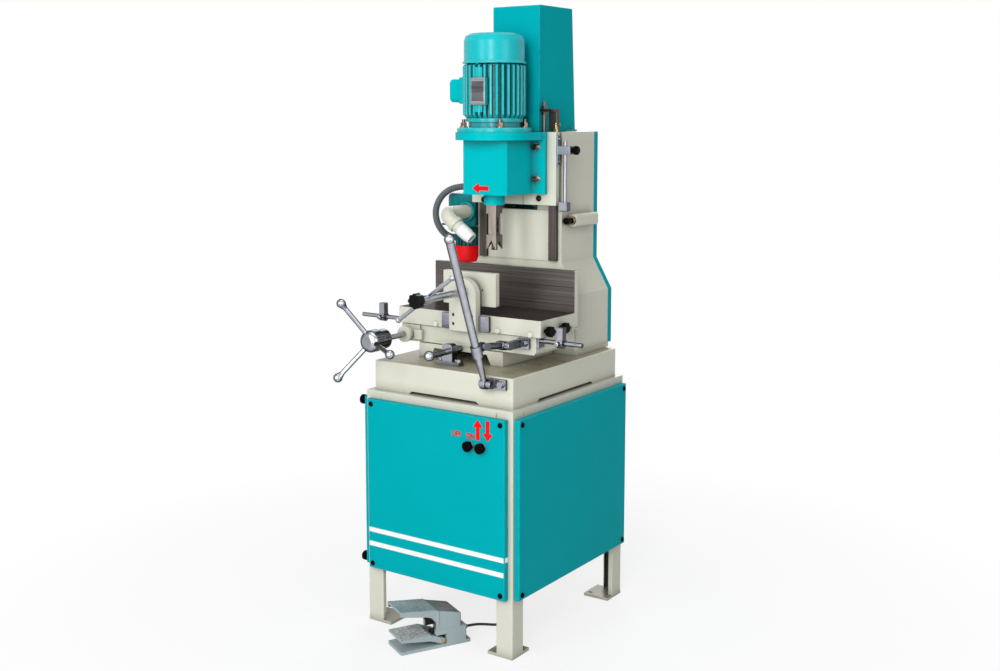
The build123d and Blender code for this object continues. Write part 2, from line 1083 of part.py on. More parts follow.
def hydraulic_pipes():
    group = []
    start = floor_top + tank_size[2] + valve_size[2]
    for side, z in zip(sides, port_heights()):
        x = side * pipe_spread
        path = FilletPolyline((x, pipe_y, start), (x, pipe_y, z), (x, port_face(), z), radius=pipe_bend)
        group.append(tube(path, pipe_radius) - tube(path, pipe_radius - pipe_wall))
    return Compound(children=group)


# Base, cross way and cross stop

def base_slot(span, wall_low, wall_high):
    points = [
        (span[0], 0), (span[1], 0), (span[1] - slot_slope, slot_height), (span[0] + slot_slope, slot_height),
    ]
    face = Plane((0, wall_low, frame_height), x_dir=(1, 0, 0), z_dir=(0, -1, 0)) * make_face(
        Polyline(*points, close=True))
    return extrude(face, wall_low - wall_high)


def machine_base():
    half_x = base_width / 2
    half_y = base_depth / 2
    body = block((-half_x, half_x), (-half_y, half_y), (frame_height, base_top))
    body = upright(body, base_edge_radius)
    body = fillet(body.faces().sort_by(Axis.Z)[-1].edges(), base_edge_radius)
    hollow = block(
        (-half_x + base_wall, half_x - base_wall), (-half_y + base_wall, half_y - base_wall),
        (frame_height, base_top - base_roof),
    )
    front = base_slot(front_slot, half_y, -half_y)
    side = Rot(0, 0, 90) * base_slot(side_slot, half_x, -half_x)
    return body - hollow - front - side - pipe_holes(frame_height, base_top)


def dovetail(half, low, play):
    narrow = half - dovetail_slope
    top = low + dovetail_height
    points = [
        (-narrow - play, low), (narrow + play, low), (half + play, top), (half + play, top + play),
        (-half - play, top + play), (-half - play, top),
    ]
    return make_face(Polyline(*(points if play else points[:3] + points[5:]), close=True))


def cross_way():
    back = column_front - plinth_proud - open_gap
    left, right = way_middle - way_half, way_middle + way_half
    body = block((left, right), (way_front, back), (base_top, way_top))
    arch = [
        (left + way_foot, base_top), (right - way_foot, base_top),
        (right - way_foot - way_arch / 2, base_top + way_arch),
        (left + way_foot + way_arch / 2, base_top + way_arch),
    ]
    face = Plane.XZ.offset(-way_front) * make_face(Polyline(*arch, close=True))
    body = body - extrude(face, way_front - back)
    return body + extrude(cross_dovetail(0), saddle_front - back)


def cross_dovetail(play):
    return Plane.XZ.offset(-saddle_front) * Pos(way_middle, 0) * dovetail(cross_dovetail_half, way_top, play)


def cross_stop_bracket():
    wide, deep, high = stop_block
    z = base_top + stop_screw_rise
    foot = Box(stop_foot, deep, stop_foot_thick)
    foot = Pos(stop_block_x, stop_block_y, base_top + stop_foot_thick / 2) * foot
    post = Pos(stop_block_x, stop_block_y, base_top + high / 2) * Box(wide, deep, high)
    post = fillet(post.edges().filter_by(Axis.Y).group_by(Axis.Z)[-1], stop_block_round)
    body = foot + post - rod_y(stop_block_y - deep, stop_block_y + deep, stop_block_x, z,
                               stop_screw_radius + run_fit)
    for side in sides:
        x = stop_block_x + side * (stop_foot / 2 - stop_bolt_inset)
        low = base_top + stop_foot_thick
        body += hexagon_z(low, low + stop_bolt_height, x, stop_block_y, stop_bolt_radius)
    return body


def cross_stop_screw():
    z = base_top + stop_screw_rise
    shank = rod_y(stop_screw_front, stop_screw_back, stop_block_x, z, stop_screw_radius)
    ball = Pos(stop_block_x, stop_screw_front, z) * Sphere(stop_ball_radius)
    rear = stop_block_y + stop_block[1] / 2
    nuts = [hexagon_y(rear + near, rear + far, stop_block_x, z, stop_nut_radius) for near, far in stop_nuts]
    return shank + ball + nuts


# Hand lever and link

def lever_place(reach):
    lean = math.radians(lever_lean)
    pivot_z = base_top - lever_pivot_drop
    return lever_pivot_y - reach * math.sin(lean), pivot_z + reach * math.cos(lean)


def lever_bracket():
    wide, thick, high = bracket_plate
    z = base_top - lever_pivot_drop
    face = -base_depth / 2
    left = lever_x + eye_width / 2 + ear_gap
    near = lever_x - eye_width / 2
    plate = block((left, left + wide), (face - thick, face), (z - high / 2, z + high / 2))
    radius = eye_radius - ear_step
    ear = block((left, left + bracket_ear), (lever_pivot_y, face), (z - radius, z + radius))
    ear += rod_x(left, left + bracket_ear, lever_pivot_y, z, radius)
    pin = rod_x(near - pin_sink, left, lever_pivot_y, z, pivot_pin_radius)
    head = rod_x(near - pin_head_gap - lever_pin_head, near - pin_head_gap, lever_pivot_y, z,
                 pivot_pin_radius + pin_head_step)
    bolt = hexagon_y(face - thick - bracket_bolt_height, face - thick, left + wide - bracket_ear, z,
                     bracket_bolt_radius)
    return plate + ear + pin + head + bolt


def lug_pin():
    lean = math.radians(lever_lean)
    y, z = lever_place(lever_sleeve_reach)
    return y + lug_offset * math.cos(lean), z + lug_offset * math.sin(lean)


def hand_lever():
    pivot = lever_place(0)
    across = (lever_x - eye_width / 2, lever_x + eye_width / 2)
    eye = rod_x(*across, *pivot, eye_radius)
    foot = (lever_x, *lever_place(eye_radius - lever_foot_sink))
    collar = (lever_x, *lever_place(lever_sleeve_reach))
    top = (lever_x, *lever_place(lever_reach - lever_knob_radius))
    shaft = rod_between(foot, collar, lever_foot_radius, lever_shaft_radius)
    handle = rod_between(collar, top, lever_shaft_radius, lever_grip_radius)
    knob = Pos(*top) * Sphere(lever_knob_radius)
    half = lever_sleeve_length / 2
    sleeve_low = (lever_x, *lever_place(lever_sleeve_reach - half))
    sleeve_top = (lever_x, *lever_place(lever_sleeve_reach + half))
    sleeve = rod_between(sleeve_low, sleeve_top, lever_sleeve_radius)
    pin = lug_pin()
    lug_span = (lever_x - lug_width / 2, lever_x + lug_width / 2)
    middle = lever_place(lever_sleeve_reach)
    centre = Pos(lever_x, (pin[0] + middle[0]) / 2, (pin[1] + middle[1]) / 2)
    web = centre * Rot(lever_lean, 0, 0) * Box(lug_width, lug_offset, 2 * link_eye_radius)
    lug = rod_x(*lug_span, *pin, link_eye_radius) + web
    lug -= rod_x(*lug_span, *pin, pivot_pin_radius + link_play)
    return eye + shaft + handle + knob + sleeve + lug - rod_x(*across, *pivot, pivot_pin_radius + run_fit)


def link_bracket():
    wide = link_plate_width
    thick, high = bracket_plate[1:]
    z = saddle_pin_z()
    left = lever_x + link_eye_width / 2 + ear_gap
    near = lever_x - link_eye_width / 2
    plate = block((left, left + wide), (saddle_front - thick, saddle_front), (z - high / 2, z + high / 2))
    ear = block((left, left + bracket_ear), (link_pin_y, saddle_front),
                (z - link_ear_radius, z + link_ear_radius))
    ear += rod_x(left, left + bracket_ear, link_pin_y, z, link_ear_radius)
    pin = rod_x(near - pin_sink, left, link_pin_y, z, pivot_pin_radius)
    head = rod_x(near - pin_head_gap - link_pin_head, near - pin_head_gap, link_pin_y, z,
                 pivot_pin_radius + pin_head_step)
    face = saddle_front - thick
    bolt = hexagon_y(face - bracket_bolt_height, face, left + wide - bracket_ear, z, link_bolt_radius)
    return plate + ear + pin + head + bolt


def saddle_pin_z():
    return saddle_top - link_pin_drop


def link():
    front = lug_pin()
    half = link_eye_width / 2
    rear = (link_pin_y, saddle_pin_z())
    start = Vector(lever_x, *front)
    end = Vector(lever_x, *rear)
    aim = (end - start).normalized()
    clear = link_eye_radius + open_gap
    bar_start = start + aim * (clear + fork_width)
    bar = rod_between((bar_start.X, bar_start.Y, bar_start.Z), (end.X, end.Y, end.Z), link_radius)
    inner = lug_width / 2 + fork_gap
    tilt = math.degrees(math.atan2(rear[1] - front[1], rear[0] - front[0]))
    body = bar + rod_x(lever_x - half, lever_x + half, *rear, link_eye_radius)
    bridge = start + aim * (clear + fork_width / 2)
    body += Pos(bridge.X, bridge.Y, bridge.Z) * Rot(tilt, 0, 0) * Box(
        2 * (inner + fork_width), fork_width, fork_height)
    for side in sides:
        x = lever_x + side * (inner + fork_width / 2)
        ear = rod_x(x - fork_width / 2, x + fork_width / 2, *front, fork_ear_radius)
        middle = start + aim * (clear / 2)
        ear += Pos(x, middle.Y, middle.Z) * Rot(tilt, 0, 0) * Box(fork_width, clear, fork_height)
        body += ear
    body += rod_x(lever_x - inner, lever_x + inner, *front, pivot_pin_radius)
    return body - rod_x(lever_x - half, lever_x + half, *rear, pivot_pin_radius + run_fit)


# Saddle and capstan

def table_ridge(play):
    low, high = table_dovetail
    return Pos((low + high) / 2, 0) * dovetail((high - low) / 2, saddle_top, play)


def saddle():
    body = block((saddle_left, saddle_right), (saddle_front, saddle_back), (saddle_low, saddle_top))
    lower_right = body.edges().filter_by(Axis.Y).group_by(Axis.X)[-1].sort_by(Axis.Z)[0]
    body = chamfer(lower_right, saddle_chamfer)
    body += block((boss_block_left, saddle_left), (saddle_front - boss_block_proud, saddle_back),
                  (saddle_low, saddle_top))
    body += rod_y(boss_front, saddle_front, capstan_x, capstan_z, boss_radius - boss_step)
    body += rod_y(boss_front, boss_front + boss_ring, capstan_x, capstan_z, boss_radius)
    pad_x = capstan_x + boss_radius + boss_pad / 2
    pad_half = boss_pad / 2
    body += block((pad_x - pad_half, pad_x + pad_half), (saddle_front - boss_pad_thick, saddle_front),
                  (capstan_z - pad_half, capstan_z + pad_half))
    body += extrude(Plane.YZ.offset(saddle_left) * table_ridge(0), ridge_right - saddle_left)
    body -= extrude(cross_dovetail(slide_gap), saddle_front - saddle_back)
    tip = gear_module * (pinion_teeth / 2 + 1)
    teeth = (gear_y - gear_width / 2 - open_gap, gear_y + gear_width / 2 + open_gap)
    pocket = rod_y(*teeth, capstan_x, capstan_z, tip + open_gap)
    rack_slot = block((boss_block_left, rack_span[1] + rack_slot_run), teeth,
                      (capstan_z + gear_module * (pinion_teeth / 2 - rack_slot_share), saddle_top))
    bore = rod_y(boss_front, shaft_end(), capstan_x, capstan_z, capstan_shaft_radius + run_fit)
    return body - pocket - rack_slot - bore


def shaft_end():
    return gear_y + gear_width / 2 + capstan_shaft_run


def rack_tooth(thickness):
    half = thickness / 2
    slope = math.tan(math.radians(pressure_angle))
    add = gear_module
    ded = tooth_root_share * gear_module
    root = half + ded * slope
    tip = half - add * slope
    return [(-root, -ded), (root, -ded), (tip, add), (-tip, add)]


def pinion_tooth(thickness):
    pitch = gear_module * pinion_teeth / 2
    base = pitch * math.cos(math.radians(pressure_angle))
    tip = pitch + gear_module
    press = math.radians(pressure_angle)
    flank = []
    for step in range(flank_count + 1):
        reach = base + (tip - base) * step / flank_count
        turn = math.acos(base / reach)
        half = thickness / 2 / pitch + math.tan(press) - press - math.tan(turn) + turn
        flank.append((reach * math.sin(half), reach * math.cos(half)))
    root = pitch - tooth_root_share * gear_module
    flank.insert(0, (flank[0][0], root - tooth_sink))
    return flank + [(-x, y) for x, y in reversed(flank)]


def pinion():
    thickness = math.pi * gear_module / 2 - tooth_play
    outline = Circle(gear_module * (pinion_teeth / 2 - tooth_root_share))
    for index in range(pinion_teeth):
        tooth = make_face(Polyline(*pinion_tooth(thickness), close=True))
        outline += Rot(0, 0, index * 360 / pinion_teeth) * tooth
    place = Plane((capstan_x, gear_y + gear_width / 2, capstan_z), x_dir=(1, 0, 0), z_dir=(0, -1, 0))
    return extrude(place * outline, gear_width)


def table_rack():
    line = capstan_z + gear_module * pinion_teeth / 2
    thickness = math.pi * gear_module / 2 - tooth_play
    pitch = math.pi * gear_module
    body = block(rack_span, (gear_y - gear_width / 2, gear_y + gear_width / 2),
                 (line + tooth_root_share * gear_module, table_low + rack_sink))
    teeth = None
    count = int((rack_span[1] - rack_span[0] - pitch) / pitch)
    first = math.ceil((rack_span[0] + pitch / 2 - capstan_x) / pitch - 0.5)
    for index in range(first, first + count):
        x = capstan_x + (index + 0.5) * pitch
        flipped = [(x + a, line - b) for a, b in rack_tooth(thickness)]
        tooth = make_face(Polyline(*flipped, close=True))
        teeth = tooth if teeth is None else teeth + tooth
    place = Plane((0, gear_y + gear_width / 2, 0), x_dir=(1, 0, 0), z_dir=(0, -1, 0))
    return body + extrude(place * teeth, gear_width)


def capstan_shaft():
    return rod_y(hub_front + hub_length, shaft_end(), capstan_x, capstan_z, capstan_shaft_radius) + pinion()


def capstan_hub():
    groove = hub_front + hub_dome
    dome = rod_y(hub_front, groove, capstan_x, capstan_z, hub_radius)
    dome = fillet(dome.edges().group_by(Axis.Y)[0], hub_dome_round)
    neck = rod_y(groove, groove + hub_groove, capstan_x, capstan_z, hub_collar_radius - hub_groove)
    collar = rod_y(groove + hub_groove, hub_front + hub_length, capstan_x, capstan_z, hub_collar_radius)
    collar = chamfer(collar.edges().group_by(Axis.Y)[-1], hub_chamfer)
    sockets = [rod_between(*arm_line(angle), arm_radius + screw_gap) for angle in arm_angles]
    return dome + neck + collar - sockets


def arm_line(angle):
    turn = math.radians(angle)
    spread = (math.cos(turn), math.sin(turn))
    inner = arm_middle - arm_root / arm_reach * arm_dish
    start = (capstan_x + arm_root * spread[0], inner, capstan_z + arm_root * spread[1])
    return start, (capstan_x + arm_reach * spread[0], arm_middle - arm_dish,
                   capstan_z + arm_reach * spread[1])


def capstan_arms():
    return Compound(children=[capstan_arm(angle) for angle in arm_angles])


def capstan_arm(angle):
    start, end = arm_line(angle)
    axis = Vector(*end) - Vector(*start)
    length = axis.length
    ball = arm_ball_radius
    join = math.sqrt(ball**2 - arm_ball_neck**2)
    outline = Polyline((0, length + ball), (0, 0), (arm_radius, 0), (arm_radius, length - arm_neck),
                       (arm_ball_neck, length - join))
    cap = ThreePointArc((arm_ball_neck, length - join), (ball, length), (0, length + ball))
    profile = make_face(outline + cap)
    return Plane(origin=start, z_dir=axis).location * revolve(Plane.XZ * profile, Axis.Z)


# Table, fence and stops

def table():
    body = block((-table_half, table_half), (table_front, table_back), (table_low, table_top))
    body = upright(body, table_edge_radius)
    groove = extrude(Plane.YZ.offset(-table_half) * table_ridge(slide_gap), 2 * table_half)
    slot = block(rack_span, (gear_y - gear_width / 2, gear_y + gear_width / 2),
                 (table_low, table_low + rack_sink))
    bore = lock_stud_radius + run_fit
    studs = [rod_x(table_half - lock_bore_depth, table_half, y, lock_knob_z(), bore) for y in lock_knob_y]
    return body - groove - slot - studs - fence_notch()


def lock_knob_z():
    return table_low + lock_knob_rise


def fence_notch():
    return block((-table_half, table_half), (fence_front, table_back), (table_top - fence_drop, table_top))


def fence():
    back = fence_front + fence_thick
    plate = block((-table_half, table_half), (fence_front, back), (table_top - fence_drop, fence_top))
    plate = fillet(plate.edges().filter_by(Axis.Y), fence_edge_radius)
    for step in (-fence_rib_share, 0, fence_rib_share):
        start = step * table_half - fence_rib_thick / 2
        rib = Plane.YZ.offset(start) * make_face(Polyline(
            (back, table_top - fence_drop), (table_back, table_top - fence_drop), (table_back, table_top),
            (back, fence_top - fence_rib_drop), close=True))
        plate += extrude(rib, fence_rib_thick)
    return plate


def gib_bolts():
    z = table_low + gib_bolt_radius
    group = []
    for x in gib_bolt_x:
        head = rod_y(table_front - gib_bolt_head, table_front, x, z, gib_bolt_radius)
        group.append(fillet(head.edges().group_by(Axis.Y)[0], gib_bolt_round))
    return Compound(children=group)


def lobed(radius, lobes, thick):
    outline = Circle(radius * lobe_core_share)
    lobe = Pos(radius * lobe_place_share, 0) * Circle(radius * lobe_size_share)
    for index in range(lobes):
        outline += Rot(0, 0, index * 360 / lobes) * lobe
    return extrude(outline, thick)


def lock_knob(y):
    place = Pos(table_half + lock_stud_length, y, lock_knob_z()) * Rot(0, 90, 0)
    stud = rod_x(table_half - lock_stud_grip, table_half + lock_stud_length, y, lock_knob_z(),
                 lock_stud_radius)
    return place * lobed(lock_knob_radius, lock_knob_lobe_count, lock_knob_thick) + stud


def stop_rods():
    z = saddle_top - stop_rod_drop
    left = rod_x(left_rod_end, boss_block_left - stop_plate_thick, left_stop_y, z, stop_rod_radius)
    left_low = (z - stop_plate / 2 - stop_plate_low, saddle_top)
    left += block((boss_block_left - stop_plate_thick, boss_block_left),
                  (left_stop_y - stop_plate / 2, left_stop_y + stop_plate / 2), left_low)
    right = rod_x(saddle_right + stop_plate_thick, right_rod_end, right_stop_y, z, stop_rod_radius)
    right += block((saddle_right, saddle_right + stop_plate_thick),
                   (saddle_front, saddle_front + stop_plate),
                   (saddle_top - stop_plate + stop_plate_cut, saddle_top))
    return Compound(children=[left, right])


def end_stop(x, y):
    z = saddle_top - stop_rod_drop
    half = stop_post / 2
    post = block((x - half, x + half), (y - half, y + half), (z, z + stop_post_rise))
    post = chamfer(post.edges().group_by(Axis.Z)[-1], stop_post_chamfer)
    post += rod_x(x - half, x + half, y, z, stop_eye_radius)
    bore = rod_x(x - half, x + half, y, z, stop_rod_radius + run_fit)
    face = y - math.sqrt(stop_eye_radius**2 - thumb_radius**2)
    screw = rod_y(face - thumb_length, face, x, z, thumb_radius)
    screw = fillet(screw.edges().group_by(Axis.Y)[0], thumb_round)
    end = face - thumb_length
    slot = block((x - thumb_radius, x + thumb_radius), (end, end + thumb_slot_depth),
                 (z - thumb_slot_half, z + thumb_slot_half))
    return post + screw - slot - bore


# Vise

def vise_bracket():
    low, high = table_front - vise_thick, table_front
    arch_z = vise_axis_z - vise_arch_drop
    body = block((-vise_half, vise_half), (low, high), (vise_low, arch_z))
    body += rod_y(low, high, 0, arch_z, vise_half)
    body += rod_y(low - vise_nose, low, 0, vise_axis_z, vise_screw_radius + vise_nose_wall)
    recesses = []
    for rise in vise_recess_rise:
        for side in sides:
            recesses.append(rod_y(low, low + vise_recess_depth, side * vise_recess_x, vise_low + rise,
                                  vise_recess_radius))
    bore = rod_y(low - vise_nose, high, 0, vise_axis_z, vise_screw_radius + run_fit)
    return body - bore - vise_guide_bar() - recesses


def guide_bar_z():
    return table_low + guide_bar_rise, table_low + guide_bar_rise + guide_bar_height


def vise_guide_bar():
    return block((-guide_bar_half, guide_bar_half), (table_front - guide_bar_thick, table_front),
                 guide_bar_z())


def vise_jaw():
    body = block((jaw_middle - jaw_half, jaw_middle + jaw_half), (jaw_front, jaw_front + jaw_thick),
                 (jaw_low, jaw_high))
    body = fillet(body.edges().filter_by(Axis.Y), jaw_edge_radius)
    seat = rod_y(jaw_front, jaw_front + jaw_seat_depth, 0, vise_axis_z,
                 vise_screw_radius - vise_tip_step + run_fit)
    holes = []
    for side in sides:
        holes.append(rod_y(jaw_front, jaw_front + jaw_thick, jaw_middle + side * jaw_half / 2,
                           vise_axis_z + jaw_hole_rise, jaw_hole_radius))
    return body - seat - holes


def vise_screw():
    face = jaw_front - vise_tip_gap
    shank = rod_y(vise_screw_front, face, 0, vise_axis_z, vise_screw_radius)
    tip = rod_y(face, jaw_front + jaw_thick / 2, 0, vise_axis_z, vise_screw_radius - vise_tip_step)
    half = handle_collar / 2
    collar = rod_y(handle_y - half, handle_y + half, 0, vise_axis_z, vise_collar_radius)
    return shank + tip + collar - handle_bar(screw_gap)


def handle_bar(play):
    tilt = math.radians(handle_tilt)
    reach = (handle_reach * math.cos(tilt), handle_reach * math.sin(tilt))
    start = (-reach[0], handle_y, vise_axis_z - reach[1])
    return rod_between(start, (reach[0], handle_y, vise_axis_z + reach[1]), handle_radius + play)


def vise_handle():
    tilt = math.radians(handle_tilt)
    bar = handle_bar(0)
    for side in sides:
        x = side * handle_reach * math.cos(tilt)
        bar += Pos(x, handle_y,
                   vise_axis_z + side * handle_reach * math.sin(tilt)) * Sphere(handle_ball_radius)
    return bar


def star_knob():
    place = Plane((0, star_front + star_thick, vise_axis_z), x_dir=(1, 0, 0), z_dir=(0, -1, 0))
    neck = rod_y(star_front + star_thick, vise_screw_front, 0, vise_axis_z, vise_screw_radius)
    return place.location * lobed(star_radius, star_lobes, star_thick) + neck


# Column and its covers

def column_outline(shrink):
    low = column_low_half - shrink
    top = column_top_half - shrink
    bend = shrink * column_bend_share
    return [
        (-low, base_top), (low, base_top), (low, column_low_top - bend), (top, shoulder_top - bend),
        (top, column_top - shrink), (-top, column_top - shrink), (-top, shoulder_top - bend),
        (-low, column_low_top - bend),
    ]


def column_slab(shrink, front, back):
    face = Plane.XZ.offset(-front) * make_face(Polyline(*column_outline(shrink), close=True))
    return extrude(face, front - back)


def column():
    body = column_slab(0, column_front, column_back)
    edges = body.edges().filter_by(Axis.Z).group_by(Axis.Y)[0]
    body = fillet([e for e in edges if e.center().Z < column_low_top], column_edge_radius)
    half = column_low_half + plinth_proud
    inner = column_front + column_wall + open_gap
    body += block((-half, half), (column_front - plinth_proud, column_back),
                  (base_top, base_top + plinth_height))
    body -= column_slab(column_wall, inner, column_back)
    body -= block((-slot_half, slot_half), (column_front, inner), (slot_low, column_top))
    top_cut = (column_top - column_wall, column_top)
    body -= block((-slot_half, slot_half), (column_front, cylinder_y + cylinder_radius), top_cut)
    body -= pipe_holes(*top_cut)
    x, y, z = conduit_route[0]
    body += rod_x(x, x + conduit_boss, y, z, conduit_radius + conduit_boss_wall)
    return body - [guide_bar(side) for side in sides]


def guide_bar(side):
    x = sorted((side * guide_inner, side * guide_outer))
    front = column_front - guide_proud
    rail = block(x, (front, front + guide_thick), (guide_low, column_top))
    return rail + block(x, (front, front + guide_top_thick), (column_top, guide_top))


def guide_rails():
    return Compound(children=[guide_bar(side) for side in sides])


def front_cover():
    half = guide_inner - front_cover_gap
    return block((-half, half), (column_front - front_cover_thick, column_front),
                 (shoulder_top + front_cover_foot, slot_low))


def rear_cover():
    outer = column_slab(0, column_back, column_back + rear_cover_depth)
    inner = column_slab(rear_cover_sheet, column_back, column_back + rear_cover_depth - rear_cover_sheet)
    foot = block((-column_low_half, column_low_half), (column_back, column_back + rear_cover_depth),
                 (base_top, base_top + plinth_height))
    return outer - inner - foot


def cover_solid(shrink):
    half = cover_half - shrink
    front = cover_front + shrink
    points = [
        (front, cover_bottom), (cover_front + cover_depth_low - shrink, cover_bottom),
        (cover_front + cover_depth_top - shrink, cover_bottom + cover_height - shrink),
        (front, cover_bottom + cover_height - shrink),
    ]
    return extrude(Plane.YZ.offset(-half) * make_face(Polyline(*points, close=True)), 2 * half)


def cylinder_cover():
    outer = cover_solid(0)
    outer = fillet(outer.edges().filter_by(Axis.X).group_by(Axis.Z)[-1], cover_edge_radius)
    shell = outer - cover_solid(cover_sheet)
    wide, deep, thick = cover_tab
    for side in sides:
        x = sorted((side * cover_half, side * (cover_half + wide)))
        for share in cover_tab_shares:
            y = cover_front + cover_depth_low * share
            shell += block(x, (y - deep / 2, y + deep / 2), (cover_bottom, cover_bottom + thick))
            middle = side * (cover_half + cover_bolt_reach)
            low = cover_bottom + thick
            shell += hexagon_z(low, low + cover_bolt_height, middle, y, cover_bolt_radius)
    return shell


def port_heights():
    return cylinder_low + port_inset, cylinder_low + cylinder_length - port_inset


def port_face():
    return cylinder_y + cylinder_radius + port_proud


def hydraulic_cylinder():
    top = cylinder_low + cylinder_length
    flange = block((-flange_half, flange_half),
                   (cover_front + cover_sheet + open_gap, pipe_y + flange_reach), (column_top, cylinder_low))
    body = flange + rod_z(cylinder_low, top, 0, cylinder_y, cylinder_radius)
    for z in port_heights():
        body += block((-2 * pipe_spread, 2 * pipe_spread), (cylinder_y + port_sink, port_face()),
                      (z - port_half, z + port_half))
    gland_top = cylinder_low + gland_thick
    body -= rod_z(gland_top, top - gland_thick, 0, cylinder_y, cylinder_bore)
    body -= rod_z(column_top, gland_top, 0, cylinder_y, rod_radius + run_fit)
    return body - pipe_holes(column_top, cylinder_low)


def piston_rod():
    top = cylinder_low + cylinder_length - piston_inset
    low = column_top - lift_boss_height / 2
    rod = rod_z(low, top, 0, cylinder_y, rod_radius)
    return rod + rod_z(top - piston_thick, top, 0, cylinder_y, cylinder_bore - run_fit)


def top_stop():
    y = carriage_front + keeper_setback
    x = guide_inner - keeper_inset
    back = column_front - guide_proud + guide_top_thick
    top = guide_top + keeper_thick
    keeper = block((x - keeper_half, guide_outer), (y - keeper_half, back), (guide_top, top))
    stud = rod_z(column_top + keeper_stud_gap, guide_top + keeper_stud_rise, x, y, keeper_stud_radius)
    stud += hexagon_z(guide_top - keeper_nut_low, guide_top, x, y, keeper_nut_radius)
    stud += hexagon_z(top, top + keeper_nut_high, x, y, keeper_nut_radius)
    return keeper + stud


# Limit switch

def switch_housing():
    wide, deep, high = switch_box
    x = (column_top_half, column_top_half + wide)
    body = block(x, (switch_y, switch_y + deep), (switch_z - high / 2, switch_z + high / 2))
    body = fillet(body.edges().filter_by(Axis.Y).group_by(Axis.X)[-1], switch_edge_radius)
    return body - plunger_bore()


def plunger_x():
    return column_top_half + switch_box[0] / 2


def plunger_bore():
    return rod_y(switch_y - switch_ring_thick, switch_y + plunger_bore_depth, plunger_x(), switch_z,
                 plunger_radius - plunger_step + run_fit)


def switch_ring():
    ring = rod_y(switch_y - switch_ring_thick, switch_y, plunger_x(), switch_z, switch_ring_radius)
    return ring - plunger_bore()


def switch_plunger():
    cap_back = switch_y - switch_ring_thick - plunger_travel - plunger_gap
    cap = rod_y(plunger_front, cap_back, plunger_x(), switch_z, plunger_radius)
    cap = fillet(cap.edges().group_by(Axis.Y)[0], plunger_round)
    stem = rod_y(cap_back, switch_y + plunger_stem, plunger_x(), switch_z, plunger_radius - plunger_step)
    return cap + stem


# Dust blower

def blower_bracket():
    deck = blower_deck - blower_plate
    right = -column_top_half
    back = blower_y + blower_plate_back
    plate = block((blower_x - blower_plate_left, right), (blower_y - blower_plate_front, back),
                  (deck, blower_deck))
    wall = block((right - blower_plate, right), (blower_y - blower_wall_front, back),
                 (deck - blower_wall_drop, deck))
    return plate + wall - rod_z(deck, blower_deck, blower_x, blower_y, scroll_eye)


def scroll_outline(shrink):
    corners = ((0, 0), (-scroll_step, 0), (-scroll_step, -scroll_step), (0, -scroll_step))
    half = scroll_step / 2
    radius = scroll_start - shrink
    start = (half, half + radius)
    first = (half, half)
    lines = []
    here = start
    angle = 90
    for index, corner in enumerate(corners):
        middle = (first[0] + corner[0], first[1] + corner[1])
        reach = radius + index * scroll_step
        mid = math.radians(angle + 45)
        end = math.radians(angle + 90)
        through = (middle[0] + reach * math.cos(mid), middle[1] + reach * math.sin(mid))
        finish = (middle[0] + reach * math.cos(end), middle[1] + reach * math.sin(end))
        lines.append(ThreePointArc(here, through, finish))
        here = finish
        angle += 90
        if index == 2:
            break
    return lines, start, here


def scroll_reach():
    return scroll_start + 2 * scroll_step + scroll_land


def scroll_face(shrink):
    lines, start, end = scroll_outline(shrink)
    mouth = -scroll_reach() - (open_gap if shrink else 0)
    inner = outlet_x - blower_x - outlet_radius + shrink
    outer = outlet_x - blower_x + outlet_radius - shrink
    duct = make_face(Polyline((inner, 0), (outer, 0), (outer, mouth), (inner, mouth), close=True))
    body = make_face(lines[0] + lines[1] + lines[2] + Line(end, start))
    return body + Circle(scroll_start - shrink) + duct


def scroll_housing():
    base = Plane((blower_x, blower_y, blower_deck))
    body = extrude(base * scroll_face(0), scroll_height)
    body = fillet(body.faces().sort_by(Axis.Z)[-1].edges(), scroll_round)
    inside = Plane((blower_x, blower_y, blower_deck + scroll_wall))
    hollow = extrude(inside * scroll_face(scroll_wall), scroll_height - scroll_wall - scroll_roof)
    mouth = outlet_mouth() + scroll_land
    flange = rod_y(mouth - scroll_land, mouth, outlet_x, outlet_z, outlet_radius + outlet_wall)
    lip = (mouth - scroll_land - outlet_lip, mouth - scroll_land)
    ring = rod_y(*lip, outlet_x, outlet_z, outlet_radius + outlet_wall)
    flange += ring - rod_y(*lip, outlet_x, outlet_z, outlet_radius)
    throat = rod_y(mouth - scroll_land, mouth + open_gap, outlet_x, outlet_z,
                   nozzle_pipe_radius - nozzle_pipe_wall)
    eye = rod_z(blower_deck, blower_deck + scroll_wall, blower_x, blower_y, scroll_eye)
    return body - hollow + flange - throat - eye


def outlet_mouth():
    return blower_y - scroll_reach() - scroll_land


def blower_fan():
    low = blower_deck + scroll_wall + blower_fan_gap
    hub = rod_z(low, low + blower_fan_plate, blower_x, blower_y, blower_fan_radius)
    shaft = rod_z(blower_deck - fan_shaft_drop, low, blower_x, blower_y, fan_shaft_radius)
    fan = hub + shaft
    middle = low + blower_fan_plate + blower_blade[2] / 2
    blade = Pos(blower_fan_radius - blower_blade_inset, 0, 0) * Box(*blower_blade)
    for index in range(blower_blade_count):
        fan += Pos(blower_x, blower_y, middle) * Rot(0, 0, index * 360 / blower_blade_count) * blade
    return fan


